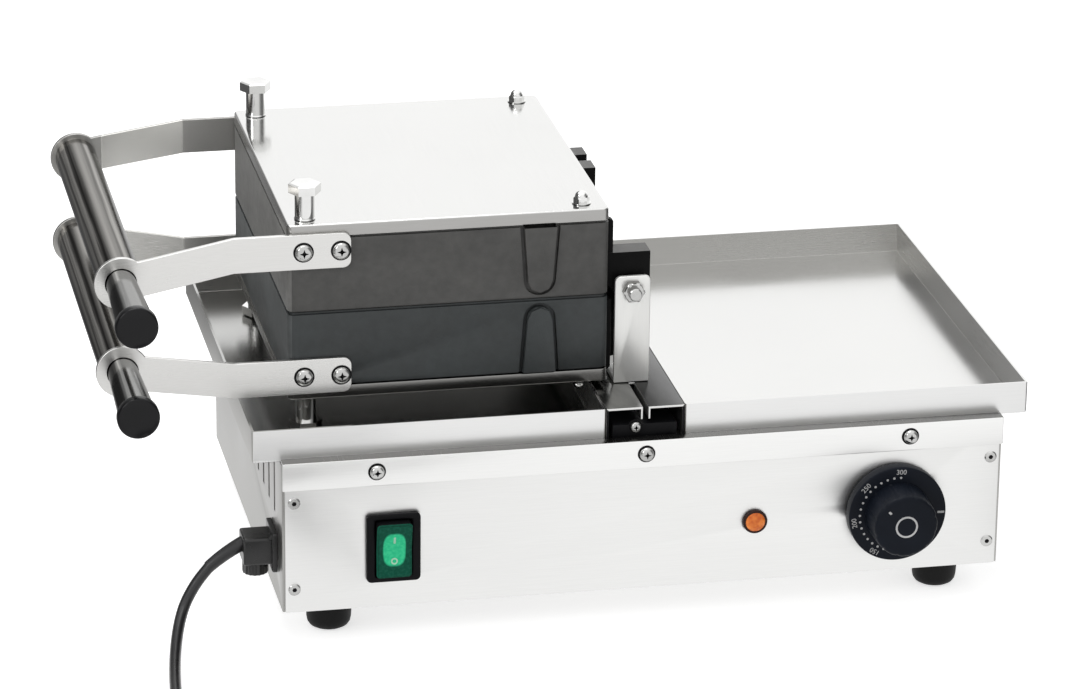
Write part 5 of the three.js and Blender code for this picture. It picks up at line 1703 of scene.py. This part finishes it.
def make_rods():
    """Each iron's handle rod, with its end cap and the tube that turns on it."""
    for name, body, _ in IRONS:
        node = f"{name}_rod"
        low, high = box(node)
        centre = middle(node)
        eye = -box(f"{name}_strip_front")[0].y + CLEARANCE
        head = rounded([
            (ROD_RADIUS, eye),
            (half(node).z, eye),
            (half(node).z, high.y),
            (0, high.y),
        ], EDGE_ROUND)
        profile = [(0, low.y), (STUB_RADIUS, low.y), (ROD_RADIUS, -eye), *head]
        place = along_y(centre.x, 0, centre.z)
        metal = reflection_striped_tube(f"{name}_rod_steel", ROD_TONE, centre, ROD_REFLECTIONS)
        piece(f"{name}_bar", turned(bmesh.new(), profile, place), body, metal, [node])
        make_end_cap(name, body, place)
        make_grip(name, place)


def make_end_cap(name, body, place):
    node = f"{name}_end_cap"
    low, high = box(node)
    radius = half(node).x
    bore = STUB_RADIUS + CLEARANCE
    floor = high.y - STUB_SOCKET - CLEARANCE
    outside = rounded([
        (radius - 3 * END_EDGE, low.y + END_DOME / 2),
        (radius, low.y + END_DOME),
        (radius, high.y),
        (bore, high.y),
    ], END_EDGE)
    profile = [(0, low.y), *outside, (bore, floor), (0, floor)]
    mesh = turned(bmesh.new(), profile, place)
    piece(f"{name}_cap", mesh, body, GLOSS_BLACK, [node])


def make_grip(name, place):
    node = f"{name}_grip"
    low, high = box(node)
    radius = half(node).x
    section = [
        (GRIP_BORE, low.y),
        (radius - GRIP_EDGE, low.y),
        (radius, low.y + GRIP_EDGE),
        (radius, high.y - GRIP_EDGE),
        (radius - GRIP_EDGE, high.y),
        (GRIP_BORE, high.y),
    ]
    mesh = turned(bmesh.new(), section, place, closed=True)
    metal = reflection_striped_tube(f"{name}_grip_steel", GRIP_TONE, middle(node), GRIP_REFLECTIONS)
    piece(f"{name}_sleeve", mesh, f"{name}_handle_grip", metal, [node])


plain_nodes()
make_trays()
make_front_screws()
make_feet()
make_switch()
make_lamp()
make_knob()
make_bolts()
make_gland()
make_castings()
for web in WEBS:
    make_web(*web)
make_covers()
make_studs()
make_strips()
make_rods()


# Stage, in metres
FLOOR_SIZE = 60
FLOOR_TONE = (0.8, 0.8, 0.8)
FLOOR_GLOW = 0.64
FLOOR_MIRRORED = 1.12
FLOOR_NEAR = 0.32
FLOOR_FAR = 0.6
WORLD_FILL = 0.62
ROOM_GAIN = 1.35
OVERHEAD_START = 0.5
OVERHEAD_END = 0.8
WHITE = (1, 1, 1)
# How bright metal sees the room's walls, by the degrees round from straight behind the machine
ROOM_SHADES = (
    (-180, 0.9), (-140, 0.8), (-105, 0.12), (-60, 0.08), (-24, 0.12), (-9, 0.3), (2, 0.95),
    (45, 1), (70, 0.6), (95, 0.12), (125, 0.3), (150, 0.85), (180, 0.9),
)
# The same of the floor, away from the machine
FLOOR_SHADES = (
    (-180, 1), (-145, 1), (-125, 0.6), (-100, 0.5), (-80, 0.12), (-45, 0.08), (-25, 0.25), (-9, 0.7),
    (5, 1), (50, 1), (64, 0.25), (85, 0.04), (106, 0.06), (120, 0.6), (132, 1), (180, 1),
)
LAMP_TARGET = Vector((0, 0, 0.1))
# Each lamp's name, place, width and power
LAMPS = (
    ("overhead", Vector((-0.4, 0.3, 2.6)), 1.8, 26),
    ("side", Vector((-2.2, -1.4, 1.6)), 1.2, 14),
)


def make_floor():
    """A white table that keeps a soft shadow, and that metal sees darker away from the machine."""
    mesh = bmesh.new()
    bmesh.ops.create_grid(mesh, x_segments=1, y_segments=1, size=FLOOR_SIZE / 2)
    data = bpy.data.meshes.new("floor")
    mesh.to_mesh(data)
    mesh.free()
    material = bpy.data.materials.new("floor")
    data.materials.append(material)
    graph = Graph(material, "Object")
    distance = graph.add("VectorMath", {0: graph.space}, operation="LENGTH").outputs["Value"]
    away = graph.spread(distance, 0, 1, FLOOR_NEAR, FLOOR_FAR, interpolation_type="SMOOTHSTEP")
    shade = graph.blend(away, WHITE, graph.by_compass(FLOOR_SHADES))
    mirrored = graph.add("Emission", {"Color": shade, "Strength": FLOOR_MIRRORED})
    path = graph.add("LightPath").outputs
    diffuse = graph.add("BsdfDiffuse", {"Color": opaque(FLOOR_TONE)})
    glow = graph.add("Emission", {"Strength": graph.maths("MULTIPLY", path["Is Camera Ray"], FLOOR_GLOW)})
    lit = graph.add("AddShader", {0: diffuse, 1: glow})
    both = graph.add("MixShader", {0: path["Is Glossy Ray"], 1: lit, 2: mirrored})
    graph.add("OutputMaterial", {"Surface": both})
    in_scene("floor", data)


def light_world():
    """A room that is white to the camera, even for what it lights, and of light and dark walls for metal."""
    world = bpy.data.worlds.new("room")
    bpy.context.scene.world = world
    graph = Graph(world, "Generated")
    height = graph.part("Z")
    overhead = graph.spread(height, 0, 1, OVERHEAD_START, OVERHEAD_END, interpolation_type="SMOOTHSTEP")
    room = graph.blend(overhead, graph.by_compass(ROOM_SHADES), WHITE)
    walls = graph.add("Background", {"Color": room, "Strength": ROOM_GAIN})
    fill = graph.add("Background", {"Color": opaque(WHITE), "Strength": WORLD_FILL})
    white = graph.add("Background", {"Color": opaque(WHITE)})
    path = graph.add("LightPath").outputs
    metal = graph.add("MixShader", {0: path["Is Glossy Ray"], 1: fill, 2: walls})
    seen = graph.maths("MAXIMUM", path["Is Camera Ray"], path["Is Transmission Ray"])
    last = graph.add("MixShader", {0: seen, 1: metal, 2: white})
    graph.add("OutputWorld", {"Surface": last})


def light_lamp(name, place, size, power):
    data = bpy.data.lights.new(name, "AREA")
    data.shape = "DISK"
    data.size = size
    data.energy = power
    turn = (place - LAMP_TARGET).to_track_quat("Z", "Y").to_matrix().to_4x4()
    in_scene(name, data).matrix_world = Matrix.Translation(place) @ turn


make_floor()
light_world()
for values in LAMPS:
    light_lamp(*values)
bpy.context.scene.view_settings.view_transform = "Standard"
